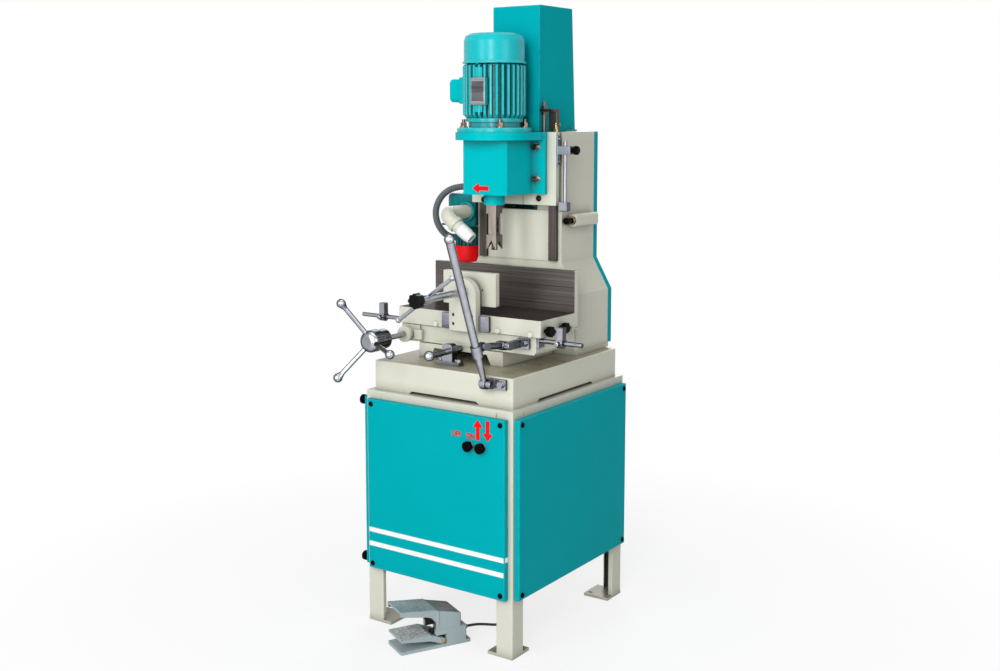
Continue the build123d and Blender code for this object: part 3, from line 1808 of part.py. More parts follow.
def blower_motor():
    top = blower_deck - blower_plate
    low = top - blower_motor_height
    core = blower_motor_radius - blower_fin_depth
    outline = Circle(core)
    for index in range(blower_fin_count):
        outline += Rot(0, 0, index * 360 / blower_fin_count) * Pos(core, 0) * Rectangle(*blower_fin)
    body = extrude(Plane((blower_x, blower_y, low)) * outline, blower_motor_height - blower_plate)
    body += rod_z(top - blower_plate, top, blower_x, blower_y, blower_motor_radius)
    x, y, z = conduit_route[-1]
    front = y + conduit_boss
    box = block((x - blower_box_left, blower_x - blower_box_sink), (front, front + blower_box_depth),
                (z - blower_box_half, z + blower_box_half))
    body += upright(box, blower_box_corner) + rod_y(y, front, x, z, conduit_radius + conduit_boss_wall)
    return body - rod_z(top - fan_bore_depth, top, blower_x, blower_y, fan_shaft_radius + run_fit)


def blower_cowl():
    top = blower_deck - blower_plate - blower_motor_height
    low = top - blower_cowl_height
    points = [
        (0, low), (blower_cowl_radius - blower_cowl_step, low),
        (blower_cowl_radius, low + blower_cowl_bevel), (blower_cowl_radius, top), (0, top),
    ]
    return turned(points, blower_x, blower_y)


def elbow_point():
    return outlet_x, elbow_y, outlet_z


def blower_pipe():
    start = (outlet_x, outlet_mouth(), outlet_z)
    aim = (Vector(*nozzle_tip) - Vector(*elbow_point())).normalized()
    span = (Vector(*nozzle_tip) - Vector(*elbow_point())).length - nozzle_length
    finish = Vector(*elbow_point()) + aim * span
    path = FilletPolyline(start, elbow_point(), (finish.X, finish.Y, finish.Z),
                          radius=elbow_radius)
    proud, length = pipe_ring
    ring_start = finish - aim * length
    ring = rod_between((ring_start.X, ring_start.Y, ring_start.Z), (finish.X, finish.Y, finish.Z),
                       nozzle_pipe_radius + proud)
    return tube(path, nozzle_pipe_radius) + ring - tube(path, nozzle_pipe_radius - nozzle_pipe_wall)


def blower_nozzle():
    aim = (Vector(*nozzle_tip) - Vector(*elbow_point())).normalized()
    start = Vector(*nozzle_tip) - aim * nozzle_length
    place = Plane(origin=(start.X, start.Y, start.Z), z_dir=aim)
    radius = nozzle_pipe_radius - nozzle_step
    narrow = radius * nozzle_taper_share
    straight = nozzle_length * nozzle_straight_share
    points = [
        (radius - nozzle_pipe_wall, 0), (radius, 0), (radius, straight), (narrow, nozzle_length),
        (narrow - nozzle_pipe_wall, nozzle_length), (radius - nozzle_pipe_wall, straight),
    ]
    return place.location * revolve(Plane.XZ * make_face(Polyline(*points, close=True)), Axis.Z)


def blower_conduit():
    path = route_path("conduit", conduit_route)
    length = path.length
    plain = 2 * conduit_radius
    ribs = int((length - 2 * plain) / conduit_pitch)
    crown, crown_end, rib_end = conduit_rib_shares
    pitch = (length - 2 * plain) / ribs
    stations = [(0, conduit_radius - conduit_groove)]
    for index in range(ribs):
        start = plain + index * pitch
        stations.append((start, conduit_radius - conduit_groove))
        stations.append((start + pitch * crown, conduit_radius))
        stations.append((start + pitch * crown_end, conduit_radius))
        stations.append((start + pitch * rib_end, conduit_radius - conduit_groove))
    stations.append((length, conduit_radius - conduit_groove))
    rings = []
    across = Vector(0, 0, 1)
    for distance, radius in stations:
        spot = distance / length
        along = path % spot
        across = (across - along * across.dot(along)).normalized()
        rings.append(Plane(origin=path @ spot, x_dir=across, z_dir=along) * Circle(radius))
    hose = loft(rings, ruled=True)
    print("conduit length", round(length), "ribs", ribs)
    return hose - tube(path, conduit_bore)


# Carriage, depth stop and head

def carriage():
    back = column_front - guide_proud - slide_gap
    body = block((-carriage_half, carriage_half), (carriage_front, back), (carriage_low, column_top))
    half = guide_inner - slide_gap
    body += block((-half, half), (back, tongue_back), (carriage_low, column_top))
    low = column_top - lift_boss_height
    boss = block((-lift_boss_half, lift_boss_half), (tongue_back, lift_boss_back), (low, column_top))
    body += upright(boss, lift_boss_corner)
    body -= rod_z(column_top - lift_boss_height / 2, column_top, 0, cylinder_y, rod_radius)
    joint = block(joint_span, (carriage_front, carriage_front + joint_depth), (carriage_low, head_low))
    plug = rod_y(carriage_front - plug_height, carriage_front, head_bolt_x, head_low - plug_drop,
                 plug_radius)
    return body - joint + fillet(plug.edges().group_by(Axis.Y)[0], plug_round)


def depth_bracket():
    thick, deep, high = depth_plate
    x = carriage_half
    front = depth_plate_y - deep / 2
    plate = block((x, x + thick), (front, front + depth_plate_thick),
                  (depth_block_z - high / 2, depth_block_z + high / 2))
    wide, block_deep, block_high = depth_block
    body = block((x + thick, x + thick + wide),
                 (depth_plate_y - block_deep / 2, depth_plate_y + block_deep / 2),
                 (depth_block_z - block_high / 2, depth_block_z + block_high / 2))
    for side in sides:
        y = front + depth_plate_thick / 2
        z = depth_block_z + side * (high / 2 - depth_bolt_inset)
        plate += rod_x(x + thick, x + thick + depth_bolt_head, y, z, depth_bolt_radius)
    hole = rod_z(depth_block_z - block_high, depth_block_z + block_high, depth_rod_x, depth_plate_y,
                 depth_rod_radius + run_fit)
    stud = rod_x(depth_rod_x + depth_rod_radius + depth_bore_gap, x + thick + wide, depth_plate_y,
                 depth_block_z, depth_stud_radius + run_fit)
    return plate + body - hole - stud


def depth_knob():
    face = carriage_half + depth_plate[0] + depth_block[0]
    points = [
        (0, depth_knob_gap), (depth_knob_neck_radius, depth_knob_gap),
        (depth_knob_neck_radius, depth_knob_neck), (depth_knob_radius, depth_knob_length / 2),
        (depth_knob_radius, depth_knob_length - depth_knob_chamfer),
        (depth_knob_radius - depth_knob_chamfer, depth_knob_length), (0, depth_knob_length),
    ]
    body = Pos(face, depth_plate_y, depth_block_z) * Rot(0, 90, 0) * turned(points, 0, 0)
    start = depth_rod_x + depth_rod_radius + depth_stud_gap
    return body + rod_x(start, face + depth_knob_gap, depth_plate_y, depth_block_z, depth_stud_radius)


def depth_rod():
    rod = rod_z(dog_low + dog_size[2], depth_rod_top, depth_rod_x, depth_plate_y, depth_rod_radius)
    dog = Pos(depth_rod_x, depth_plate_y - dog_offset, dog_low + dog_size[2] / 2) * Box(*dog_size)
    return rod + chamfer(dog.edges().group_by(Axis.Z)[0], dog_chamfer)


def oil_fitting():
    x = carriage_half - oil_inset
    y = carriage_front + oil_setback
    nut = hexagon_z(column_top, column_top + oil_nut_height, x, y, oil_nut_radius)
    stem = rod_z(column_top, column_top + oil_stem_height, x, y, oil_stem_radius)
    spout_z = column_top + oil_spout_rise
    return nut + stem + rod_x(x - oil_spout_left, x + oil_spout_right, y, spout_z, oil_spout_radius)


def head():
    back = carriage_front - head_flange_thick
    plate_low = column_top - motor_plate_thick
    body = block((-head_half, head_half), (head_front, back), (head_low, plate_low))
    body = chamfer(body.edges().filter_by(Axis.Z).group_by(Axis.Y)[0], head_edge)
    body += block((-head_flange_half, head_flange_half), (back, carriage_front), (head_low, column_top))
    plate = rod_z(plate_low, column_top, 0, spindle_y, motor_plate_radius)
    span = (-motor_plate_radius, motor_plate_radius)
    body += plate & block(span, (spindle_y - motor_plate_radius, carriage_front), (plate_low, column_top))
    body += block(span, (spindle_y, carriage_front), (plate_low, column_top))
    low = head_low + bearing_thick + spindle_lift
    body -= rod_z(low, column_top, 0, spindle_y, bearing_radius)
    body -= rod_z(head_low, column_top, 0, spindle_y, nose_radius)
    for start in (low, plate_low - bearing_thick):
        body += rod_z(start, start + bearing_thick, 0, spindle_y, bearing_radius)
    body -= rod_z(low, plate_low, 0, spindle_y, spindle_radius + run_fit)
    for side in sides:
        for z in head_bolt_z:
            body -= rod_y(back, carriage_front, side * head_bolt_x, z, head_bolt_radius + screw_gap)
    return body


def head_bolts():
    group = []
    face = carriage_front - head_flange_thick
    seat = face - head_washer_thick
    top = seat - head_cap_height
    for side in sides:
        for z in head_bolt_z:
            x = side * head_bolt_x
            washer = rod_y(seat, face, x, z, head_washer_radius)
            cap = rod_y(top, seat, x, z, head_cap_radius)
            cap -= hexagon_y(top, top + head_socket_depth, x, z, head_socket_radius)
            group.append(washer + cap + rod_y(face, carriage_front, x, z, head_bolt_radius))
    return Compound(children=group)


def collar():
    ring = rod_z(collar_low, head_low, 0, spindle_y, collar_radius)
    bore = rod_z(collar_low, head_low, 0, spindle_y, chisel_shank_radius)
    z = collar_low + collar_height / 2
    place = Pos(0, spindle_y, z) * Rot(0, 0, clamp_turn) * Rot(0, 90, 0)
    seat = Cylinder(clamp_screw_radius + clamp_seat_step, clamp_seat_length)
    screw = Cylinder(clamp_screw_radius, clamp_screw_length)
    ring += place * Pos(0, 0, collar_radius) * seat
    return ring - bore + place * Pos(0, 0, collar_radius + clamp_screw_out) * screw


def square_bar(side, low, high):
    half = side / 2
    return block((-half, half), (spindle_y - half, spindle_y + half), (low, high))


def chisel():
    body = rod_z(collar_low, head_low, 0, spindle_y, chisel_shank_radius)
    body += square_bar(chisel_side, chisel_block_low, collar_low)
    body += square_bar(chisel_neck, chisel_neck_low, chisel_block_low)
    body += square_bar(chisel_side, chisel_tip, chisel_neck_low)
    half = chisel_side / 2
    peak = chisel_tip + chisel_notch
    for place in (Plane.XZ.offset(-spindle_y - half), Plane.YZ.offset(-half)):
        shift = 0 if place.z_dir.X == 0 else spindle_y
        flank = half - chisel_corner
        wedge = Polyline((shift - flank, chisel_tip), (shift + flank, chisel_tip), (shift, peak), close=True)
        body -= extrude(place * make_face(wedge), chisel_side)
    slot = block((0, half), (spindle_y - chisel_slot_half, spindle_y + chisel_slot_half),
                 (chisel_neck_low + chisel_slot_low, chisel_block_low - chisel_slot_high))
    return body - slot - rod_z(chisel_tip, head_low, 0, spindle_y, chisel_bore)


def auger_bit():
    low = chisel_tip - auger_proud
    flute = auger_radius - auger_core
    section = Circle(auger_radius)
    for side in sides:
        section -= Pos(0, side * (auger_core + flute)) * Circle(flute)
    twisted = Solid.extrude_linear_with_rotation(
        section.face(), (0, 0, 0), (0, 0, auger_length), auger_turns * 360)
    bit = Pos(0, spindle_y, low) * twisted
    return bit + rod_z(low + auger_length, head_low + shank_grip, 0, spindle_y, auger_shank_radius)


def spindle():
    low = head_low + spindle_lift
    plate_low = column_top - motor_plate_thick + open_gap
    coupling = spindle_radius + coupling_step
    rotor_low = motor_body_low + rotor_inset
    rotor_top = motor_body_top - rotor_inset
    top = motor_body_top + cowl_height - rotor_inset
    points = [
        (0, low), (spindle_radius, low), (spindle_radius, plate_low), (coupling, plate_low),
        (coupling, column_top - open_gap), (motor_shaft_radius, column_top - open_gap),
        (motor_shaft_radius, rotor_low), (rotor_radius, rotor_low), (rotor_radius, rotor_top),
        (motor_shaft_radius, rotor_top), (motor_shaft_radius, top), (0, top),
    ]
    shaft = turned(points, 0, spindle_y)
    return shaft - rod_z(low, head_low + shank_grip, 0, spindle_y, auger_shank_radius)


def motor_fan():
    low = motor_body_top + motor_fan_rise
    radius, high = motor_fan_hub
    fan = rod_z(low, low + high, 0, spindle_y, radius)
    blade = Pos(radius + fan_blade[0] / 2 - fan_blade_sink, 0, 0) * Box(*fan_blade)
    for index in range(fan_blade_count):
        fan += Pos(0, spindle_y, low + high / 2) * Rot(0, 0, index * 360 / fan_blade_count) * blade
    return fan - rod_z(low, low + high, 0, spindle_y, motor_shaft_radius)


# Drill motor

def stud_places():
    spots = []
    for index in range(motor_stud_count):
        angle = math.radians((index + 0.5) * 360 / motor_stud_count)
        spots.append((motor_pitch_radius * math.cos(angle),
                      spindle_y + motor_pitch_radius * math.sin(angle)))
    return spots


def motor_flange():
    top = motor_low + motor_flange_thick
    lip_low = motor_body_low - motor_lip_height
    lip_radius = motor_spigot_radius + motor_lip_proud
    points = [
        (motor_throat_radius, motor_low), (motor_flange_radius, motor_low),
        (motor_flange_radius, top - motor_flange_chamfer), (motor_flange_radius - motor_flange_chamfer, top),
        (motor_spigot_radius, top), (motor_spigot_radius, lip_low), (lip_radius, lip_low),
        (lip_radius, motor_body_low), (motor_throat_radius, motor_body_low),
    ]
    body = turned(points, 0, spindle_y)
    return body - [rod_z(motor_low, top, x, y, motor_stud_radius + screw_gap) for x, y in stud_places()]


def motor_studs():
    group = []
    top = motor_low + motor_flange_thick
    for x, y in stud_places():
        seat = top + motor_washer_thick
        stud = rod_z(motor_low, top + motor_stud_rise, x, y, motor_stud_radius)
        stud += rod_z(top, seat, x, y, motor_nut_radius + motor_washer_step)
        group.append(stud + hexagon_z(seat, seat + motor_nut_height, x, y, motor_nut_radius))
    return Compound(children=group)


def motor_body():
    outline = Circle(motor_core_radius)
    root = motor_core_radius - motor_fin_sink
    half = motor_fin_thick / 2
    shoulder = motor_fin_radius - motor_fin_round
    tip = half - motor_fin_ease
    fin = make_face(Polyline(
        (root, half + motor_fin_flare), (shoulder, half), (motor_fin_radius, tip), (motor_fin_radius, -tip),
        (shoulder, -half), (root, -half - motor_fin_flare), close=True))
    for index in range(motor_fin_count):
        outline += Rot(0, 0, (index + 0.5) * 360 / motor_fin_count) * fin
    body = extrude(Plane((0, spindle_y, motor_body_low)) * outline, motor_body_height)
    points = [
        (0, motor_body_low), (motor_core_radius + motor_low_step, motor_body_low),
        (motor_fin_radius, motor_body_low + motor_low_bevel),
        (motor_fin_radius, motor_body_top - motor_top_bevel),
        (motor_fin_radius - motor_top_bevel, motor_body_top), (0, motor_body_top),
    ]
    body = body & turned(points, 0, spindle_y)
    z = plate_z()
    deep = (spindle_y - motor_fin_radius - plate_pad_proud, spindle_y - root)
    pad_half = plate_half + plate_pad_lip
    pad_high = plate_height / 2 + plate_pad_lip
    pad = block((plate_x - pad_half, plate_x + pad_half), deep, (z - pad_high, z + pad_high))
    strip = block((plate_x - plate_strip, plate_x + plate_strip), (deep[0] + plate_strip_sink, deep[1]),
                  (motor_body_low + plate_strip_low, motor_body_top - plate_strip_high))
    seat = block((-motor_fin_radius - terminal_seat, -motor_core_radius + terminal_sink),
                 terminal_y(terminal_lip), terminal_z(terminal_lip))
    return body + pad + strip + seat - rod_z(motor_body_low, motor_body_top, 0, spindle_y, motor_bore)


def terminal_y(lip):
    return spindle_y - terminal_half - lip, spindle_y + terminal_half + lip


def terminal_z(lip):
    half = terminal_height / 2 + lip
    return plate_z() + terminal_rise - half, plate_z() + terminal_rise + half


def plate_z():
    return motor_body_low + motor_body_height / 2


def terminal_box():
    start = -motor_fin_radius - terminal_seat
    inner = start - terminal_flange
    flange = block((inner, start), terminal_y(terminal_lip), terminal_z(terminal_lip))
    flange = fillet(flange.edges().filter_by(Axis.X), terminal_flange_corner)
    body = block((-terminal_reach, inner), terminal_y(0), terminal_z(0))
    body = fillet(body.edges().filter_by(Axis.X), terminal_corner)
    return flange + fillet(body.faces().sort_by(Axis.X)[0].edges(), terminal_edge_radius)


def rating_plate():
    z = plate_z()
    face = spindle_y - motor_fin_radius - plate_pad_proud
    return block((plate_x - plate_half, plate_x + plate_half), (face - plate_thick, face),
                 (z - plate_height / 2, z + plate_height / 2))


def motor_cowl():
    low = motor_body_top + cowl_gap
    top = motor_body_top + cowl_height
    rim = cowl_radius + cowl_rim
    inner = cowl_radius - cowl_sheet
    turn = top - cowl_chamfer
    rim_top = low + cowl_rim_height
    knee = (cowl_radius - (cowl_radius - cowl_top_radius) * cowl_knee_share,
            top - cowl_chamfer * cowl_knee_share)
    points = [
        (inner, low), (rim, low), (rim, rim_top), (cowl_radius, rim_top + cowl_rim_slope),
        (cowl_radius, turn), knee, (cowl_top_radius, top), (0, top), (0, top - cowl_sheet),
        (cowl_top_radius - cowl_inner_step, top - cowl_sheet),
        (knee[0] - cowl_sheet, knee[1] - cowl_knee_sheet), (inner, turn - cowl_inner_step),
    ]
    body = turned(points, 0, spindle_y)
    for side in sides:
        y = sorted((spindle_y + side * inner, spindle_y + side * (motor_core_radius - cowl_lug_sink)))
        body += block((-cowl_lug_half, cowl_lug_half), y, (motor_body_top, motor_body_top + cowl_lug_height))
    for ring, count in zip(grille_radii, grille_counts):
        for index in range(count):
            angle = math.radians(index * 360 / count)
            x = ring * math.cos(angle)
            y = spindle_y + ring * math.sin(angle)
            body -= rod_z(top - cowl_sheet, top, x, y, grille_hole_radius)
    return body


# Foot pedal, modelled along its own length from its front edge and then turned into place

def pedal_place(shape):
    return Pos(pedal_x, pedal_y, 0) * Rot(0, 0, pedal_turn) * Pos(0, -pedal_length / 2, 0) * shape


def pedal_side(points, half):
    return extrude(Plane.YZ.offset(-half) * make_face(Polyline(*points, close=True)), 2 * half)


def pedal_end():
    return pedal_housing_start + pedal_housing_length


def pedal_base():
    half = pedal_width / 2
    inner = half - pedal_wall
    start = pedal_housing_start
    end = pedal_end()
    plate = upright(block((-half, half), (0, pedal_length), (0, pedal_sheet)), pedal_plate_corner)
    housing = upright(block((-half, half), (start, end), (pedal_sheet, pedal_split)), pedal_corner)
    hollow = block((-inner, inner), (start, end - pedal_rear_wall), (pedal_sheet, pedal_split))
    well = block((-half, half), (start, treadle_hinge_u + treadle_arm + treadle_room),
                 (pedal_sheet, treadle_well))
    cheek = block((-inner, inner), (start, end), (pedal_sheet, pedal_split))
    body = plate + housing - hollow - (well - cheek)
    body += block((-inner, inner), (treadle_hinge_u - treadle_block, treadle_hinge_u + treadle_block),
                  (pedal_sheet, treadle_hinge_z + treadle_block))
    pin = rod_x(-half, half, treadle_hinge_u, treadle_hinge_z, treadle_pin_radius + run_fit)
    exit_bore = rod_y(end - pedal_rear_wall, end, 0, lead_route[0][2], lead_radius + boot_wall + screw_gap)
    return pedal_place(body - pin - exit_bore)


def pedal_switch():
    half, start, length = switch_block
    first = pedal_housing_start + start
    body = block((-half, half), (first + switch_block_gap, first + length),
                 (pedal_sheet, pedal_split - switch_block_drop))
    return pedal_place(upright(body, switch_block_corner))


def pedal_slope(u):
    run = pedal_housing_length - pedal_upper_inset
    return pedal_top_front + (pedal_top_rear - pedal_top_front) * (u - pedal_housing_start) / run


def pedal_hood():
    half = pedal_width / 2
    start = pedal_housing_start
    end = pedal_end() - pedal_upper_inset
    points = [(start, pedal_split), (end, pedal_split), (end, pedal_top_rear), (start, pedal_top_front)]
    upper = pedal_side(points, half - pedal_upper_side)
    upper = fillet(upper.faces().sort_by(Axis.Y)[-1].edges().sort_by(Axis.Z)[1:], pedal_upper_round)
    inner = half - pedal_wall
    upper -= block((-inner, inner), (start, end - pedal_upper_wall),
                   (pedal_split, pedal_top_rear - pedal_upper_roof))
    low = pedal_top_front - pedal_hood_thick
    skirt = pedal_top_front - pedal_hood_skirt
    roof = [
        (start + pedal_hood_lap, pedal_top_front + pedal_hood_lift), (0, pedal_hood_tip),
        (0, pedal_hood_tip - pedal_hood_skirt), (start - pedal_cheek_front, skirt),
        (start - pedal_cheek_rear, skirt - pedal_cheek_drop),
        (start + pedal_hood_lap, pedal_split + pedal_cheek_low),
    ]
    hood = pedal_side(roof, half)
    inside = [
        (start, low), (-pedal_hood_lap, pedal_hood_tip - pedal_hood_thick), (-pedal_hood_lap, pedal_split),
        (start, pedal_split),
    ]
    body = upper + (hood - pedal_side(inside, half - pedal_hood_thick))
    for side in sides:
        body += rod_z(pedal_split + pedal_bead_rise, pedal_top_front - pedal_bead_drop,
                      side * (half - pedal_bead_inset), start + pedal_bead, pedal_bead)
    first, last, wide = pedal_label
    label = [
        (first, pedal_slope(first)), (last, pedal_slope(last)),
        (last, pedal_slope(last) + pedal_label_thick), (first, pedal_slope(first) + pedal_label_thick),
    ]
    return pedal_place(body + pedal_side(label, wide))


def treadle():
    half = pedal_width / 2 - treadle_side_gap
    inner = pedal_width / 2 - pedal_wall + open_gap
    points = [
        (treadle_start, treadle_top - treadle_front), (treadle_bend, treadle_top - treadle_rear),
        (treadle_hinge_u, treadle_hinge_z - treadle_arm), (treadle_hinge_u, treadle_hinge_z + treadle_arm),
        (treadle_bend, treadle_top), (treadle_start, treadle_top),
    ]
    body = pedal_side(points, half) + rod_x(-half, half, treadle_hinge_u, treadle_hinge_z, treadle_arm)
    cut = block((-inner, inner), (pedal_housing_start - treadle_cut, pedal_length), (0, pedal_split))
    pin = rod_x(-half, half, treadle_hinge_u, treadle_hinge_z, treadle_pin_radius + run_fit)
    return pedal_place(body - cut - pin)


def treadle_pin():
    half = pedal_width / 2
    pin = rod_x(-half, half, treadle_hinge_u, treadle_hinge_z, treadle_pin_radius)
    for side in sides:
        span = sorted((side * half, side * (half + treadle_pin_head_thick)))
        pin += rod_x(*span, treadle_hinge_u, treadle_hinge_z, treadle_pin_head)
    return pedal_place(pin)


# Pedal lead and its glands

def pedal_lead():
    path = route_path("lead", lead_route)
    body = tube(path, lead_radius)
    print("lead length", round(path.length))
    return body


def pedal_boot():
    wall = pedal_place(Pos(0, pedal_end(), lead_route[0][2]) * Box(1, 1, 1)).center()
    return rod_between((wall.X, wall.Y, wall.Z), lead_route[0], gland_radius - boot_step,
                       lead_radius + boot_wall)


def floor_gland():
    x, y, z = lead_route[-1]
    low = floor_top - floor_sheet
    nut_low = low - gland_nut_height
    body = hexagon_z(nut_low, low, x, y, gland_radius + gland_nut_step)
    body += rod_z(z, nut_low, x, y, gland_radius - gland_nose_step)
    return body + rod_z(low, low + gland_thread, x, y, lead_radius + boot_wall)


def together(*shapes):
    solids = []
    for shape in shapes:
        solids.extend(shape.solids())
    return Compound(children=solids)


nodes = {
    "legs": legs(),
    "frame_rails": together(frame_rails(), floor_plate(), top_plate(), floor_gland()),
    "front_panel": front_panel(),
    "rear_panel": rear_panel(),
    "right_panel": right_panel(),
    "left_panel": left_panel(),
    "panel_fasteners": together(panel_screws(), left_panel_knobs()),
    "button_bezels": button_bezels(),
    "off_button": button(button_x[0]),
    "on_button": button(button_x[1]),
    "power_pack": together(oil_tank(), pump_motor() + hydraulic_pump(), valve_block(), hydraulic_pipes()),
    "machine_base": machine_base(),
    "cross_way": cross_way(),
    "base_brackets": together(cross_stop_bracket(), lever_bracket()),
    "cross_stop_screw": cross_stop_screw(),
    "hand_lever": hand_lever(),
    "saddle_fittings": together(link_bracket(), stop_rods()),
    "lever_link": link(),
    "saddle": saddle(),
    "capstan": together(capstan_shaft() + capstan_hub(), capstan_arms()),
    "table": together(table(), gib_bolts()),
    "table_rack": table_rack(),
    "fence": fence(),
    "front_lock_knob": lock_knob(lock_knob_y[0]),
    "rear_lock_knob": lock_knob(lock_knob_y[1]),
    "left_stop": end_stop(left_stop_x, left_stop_y),
    "right_stop": end_stop(right_stop_x, right_stop_y),
    "vise_bracket": together(vise_bracket(), vise_guide_bar()),
    "vise_jaw": vise_jaw(),
    "vise_screw": together(vise_screw(), vise_handle(), star_knob()),
    "column": together(column(), front_cover()),
    "guide_rails": together(guide_rails(), top_stop()),
    "rear_cover": rear_cover(),
    "cylinder_cover": cylinder_cover(),
    "hydraulic_cylinder": hydraulic_cylinder(),
    "piston_rod": piston_rod(),
    "switch_housing": together(switch_housing(), switch_ring()),
    "switch_plunger": switch_plunger(),
    "scroll_housing": together(scroll_housing(), blower_bracket()),
    "blower_fan": blower_fan(),
    "blower_motor": together(blower_motor(), blower_cowl()),
    "blower_pipe": together(blower_pipe(), blower_nozzle()),
    "blower_conduit": blower_conduit(),
    "carriage": carriage(),
    "depth_bracket": depth_bracket(),
    "depth_knob": depth_knob(),
    "depth_rod": depth_rod(),
    "head": head(),
    "head_fasteners": together(head_bolts(), motor_studs(), oil_fitting()),
    "collar": collar(),
    "chisel": chisel(),
    "auger_bit": auger_bit(),
    "spindle": together(spindle(), motor_fan()),
    "motor_body": together(motor_flange(), motor_body(), rating_plate()),
    "terminal_box": terminal_box(),
    "motor_cowl": motor_cowl(),
    "pedal_base": together(pedal_base(), treadle_pin(), pedal_switch(), pedal_boot()),
    "pedal_hood": pedal_hood(),
    "treadle": treadle(),
    "pedal_lead": pedal_lead(),
}

os.makedirs("parts", exist_ok=True)
for name, shape in nodes.items():
    export_step(shape, f"parts/{name}.step")
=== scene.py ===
import math

import bmesh
import bpy
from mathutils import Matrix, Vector


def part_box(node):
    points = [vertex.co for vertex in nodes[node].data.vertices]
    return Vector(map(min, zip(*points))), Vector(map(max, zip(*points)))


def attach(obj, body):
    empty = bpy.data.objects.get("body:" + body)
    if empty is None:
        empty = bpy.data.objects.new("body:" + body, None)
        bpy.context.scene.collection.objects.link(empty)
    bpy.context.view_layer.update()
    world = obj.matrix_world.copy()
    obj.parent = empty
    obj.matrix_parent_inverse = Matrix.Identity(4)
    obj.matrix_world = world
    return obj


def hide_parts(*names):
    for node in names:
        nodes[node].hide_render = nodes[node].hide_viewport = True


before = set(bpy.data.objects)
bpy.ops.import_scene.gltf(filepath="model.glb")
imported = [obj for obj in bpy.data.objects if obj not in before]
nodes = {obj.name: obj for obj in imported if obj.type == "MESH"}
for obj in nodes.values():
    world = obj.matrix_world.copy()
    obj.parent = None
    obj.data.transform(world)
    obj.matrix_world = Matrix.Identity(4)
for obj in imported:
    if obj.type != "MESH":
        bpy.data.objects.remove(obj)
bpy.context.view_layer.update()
print("frame loaded:", len(nodes), "nodes")


def srgb(red, green, blue):
    # a screen colour in the linear values that shaders take
    def linear(value):
        value = value / 255
        return value / 12.92 if value <= 0.04045 else ((value + 0.055) / 1.055) ** 2.4
    return linear(red), linear(green), linear(blue), 1.0


# Camera at the photograph's place
viewCamera = {
    "place": (1.91111, -2.75206, 1.34846),
    "azimuth": 34.7,
    "pitch": 7.06,
    "lens": 44.833,
    "sensor": 36,
    "lowered": 0.06075,   # the photograph's frame sits lower than its optical middle
    "reach": 50,
}


def makeCamera(values):
    lens = bpy.data.cameras.new("viewCamera")
    lens.lens = values["lens"]
    lens.sensor_width = values["sensor"]
    lens.shift_y = -values["lowered"]
    lens.clip_end = values["reach"]
    camera = bpy.data.objects.new("viewCamera", lens)
    camera.location = values["place"]
    camera.rotation_euler = (math.radians(90 - values["pitch"]), 0, math.radians(values["azimuth"]))
    bpy.context.collection.objects.link(camera)
    bpy.context.scene.camera = camera


makeCamera(viewCamera)


# Shared shader groups
def newGroup(name, inputs, outputs):
    # a socket's kind follows its value: four numbers are a colour, three a vector
    kinds = {4: "NodeSocketColor", 3: "NodeSocketVector"}
    group = bpy.data.node_groups.new(name, "ShaderNodeTree")
    for label, value in inputs.items():
        kind = kinds[len(value)] if isinstance(value, tuple) else "NodeSocketFloat"
        socket = group.interface.new_socket(label, in_out="INPUT", socket_type=kind)
        socket.default_value = value
    for label, kind in outputs.items():
        group.interface.new_socket(label, in_out="OUTPUT", socket_type=kind)
    start = group.nodes.new("NodeGroupInput")
    end = group.nodes.new("NodeGroupOutput")
    return group, start.outputs, end.inputs


def wire(tree, kind, links=None, **values):
    node = tree.nodes.new(kind)
    for key, value in values.items():
        setattr(node, key, value)
    for key, source in (links or {}).items():
        if isinstance(source, bpy.types.NodeSocket):
            tree.links.new(source, node.inputs[key])
        else:
            node.inputs[key].default_value = source
    return node


def maths(tree, operation, first, second=0.0, clamp=False):
    node = wire(tree, "ShaderNodeMath", {0: first, 1: second}, operation=operation, use_clamp=clamp)
    return node.outputs[0]


def vectorMaths(tree, operation, links, result=0):
    return wire(tree, "ShaderNodeVectorMath", links, operation=operation).outputs[result]


def mixColor(tree, factor, first, second):
    node = wire(tree, "ShaderNodeMix", {0: factor, 6: first, 7: second}, data_type="RGBA")
    return node.outputs[2]


def mixValue(tree, factor, first, second):
    node = wire(tree, "ShaderNodeMix", {0: factor, 2: first, 3: second}, data_type="FLOAT")
    return node.outputs[0]


def noise(tree, place, scale, detail, rough=0.5):
    links = {"Vector": place, "Scale": scale, "Detail": detail, "Roughness": rough}
    return wire(tree, "ShaderNodeTexNoise", links).outputs["Fac"]


noiseMiddle = 0.5


def waver(tree, place, pattern, depth):
    # noise about zero, as deep as asked
    swing = maths(tree, "SUBTRACT", noise(tree, place, *pattern), noiseMiddle)
    return maths(tree, "MULTIPLY", swing, depth)


def patches(tree, place, pattern, start, gain):
    # spots where noise rises past a start
    risen = maths(tree, "SUBTRACT", noise(tree, place, *pattern), start, True)
    return maths(tree, "MULTIPLY", risen, gain, True)


def objectPlace(tree):
    return tree.nodes.new("ShaderNodeTexCoord").outputs["Object"]


finishOutputs = {"Color": "NodeSocketColor", "Roughness": "NodeSocketFloat", "Height": "NodeSocketFloat"}
maskOutput = {"Mask": "NodeSocketFloat"}
edgeLook = {"samples": 4, "gain": 3.2}


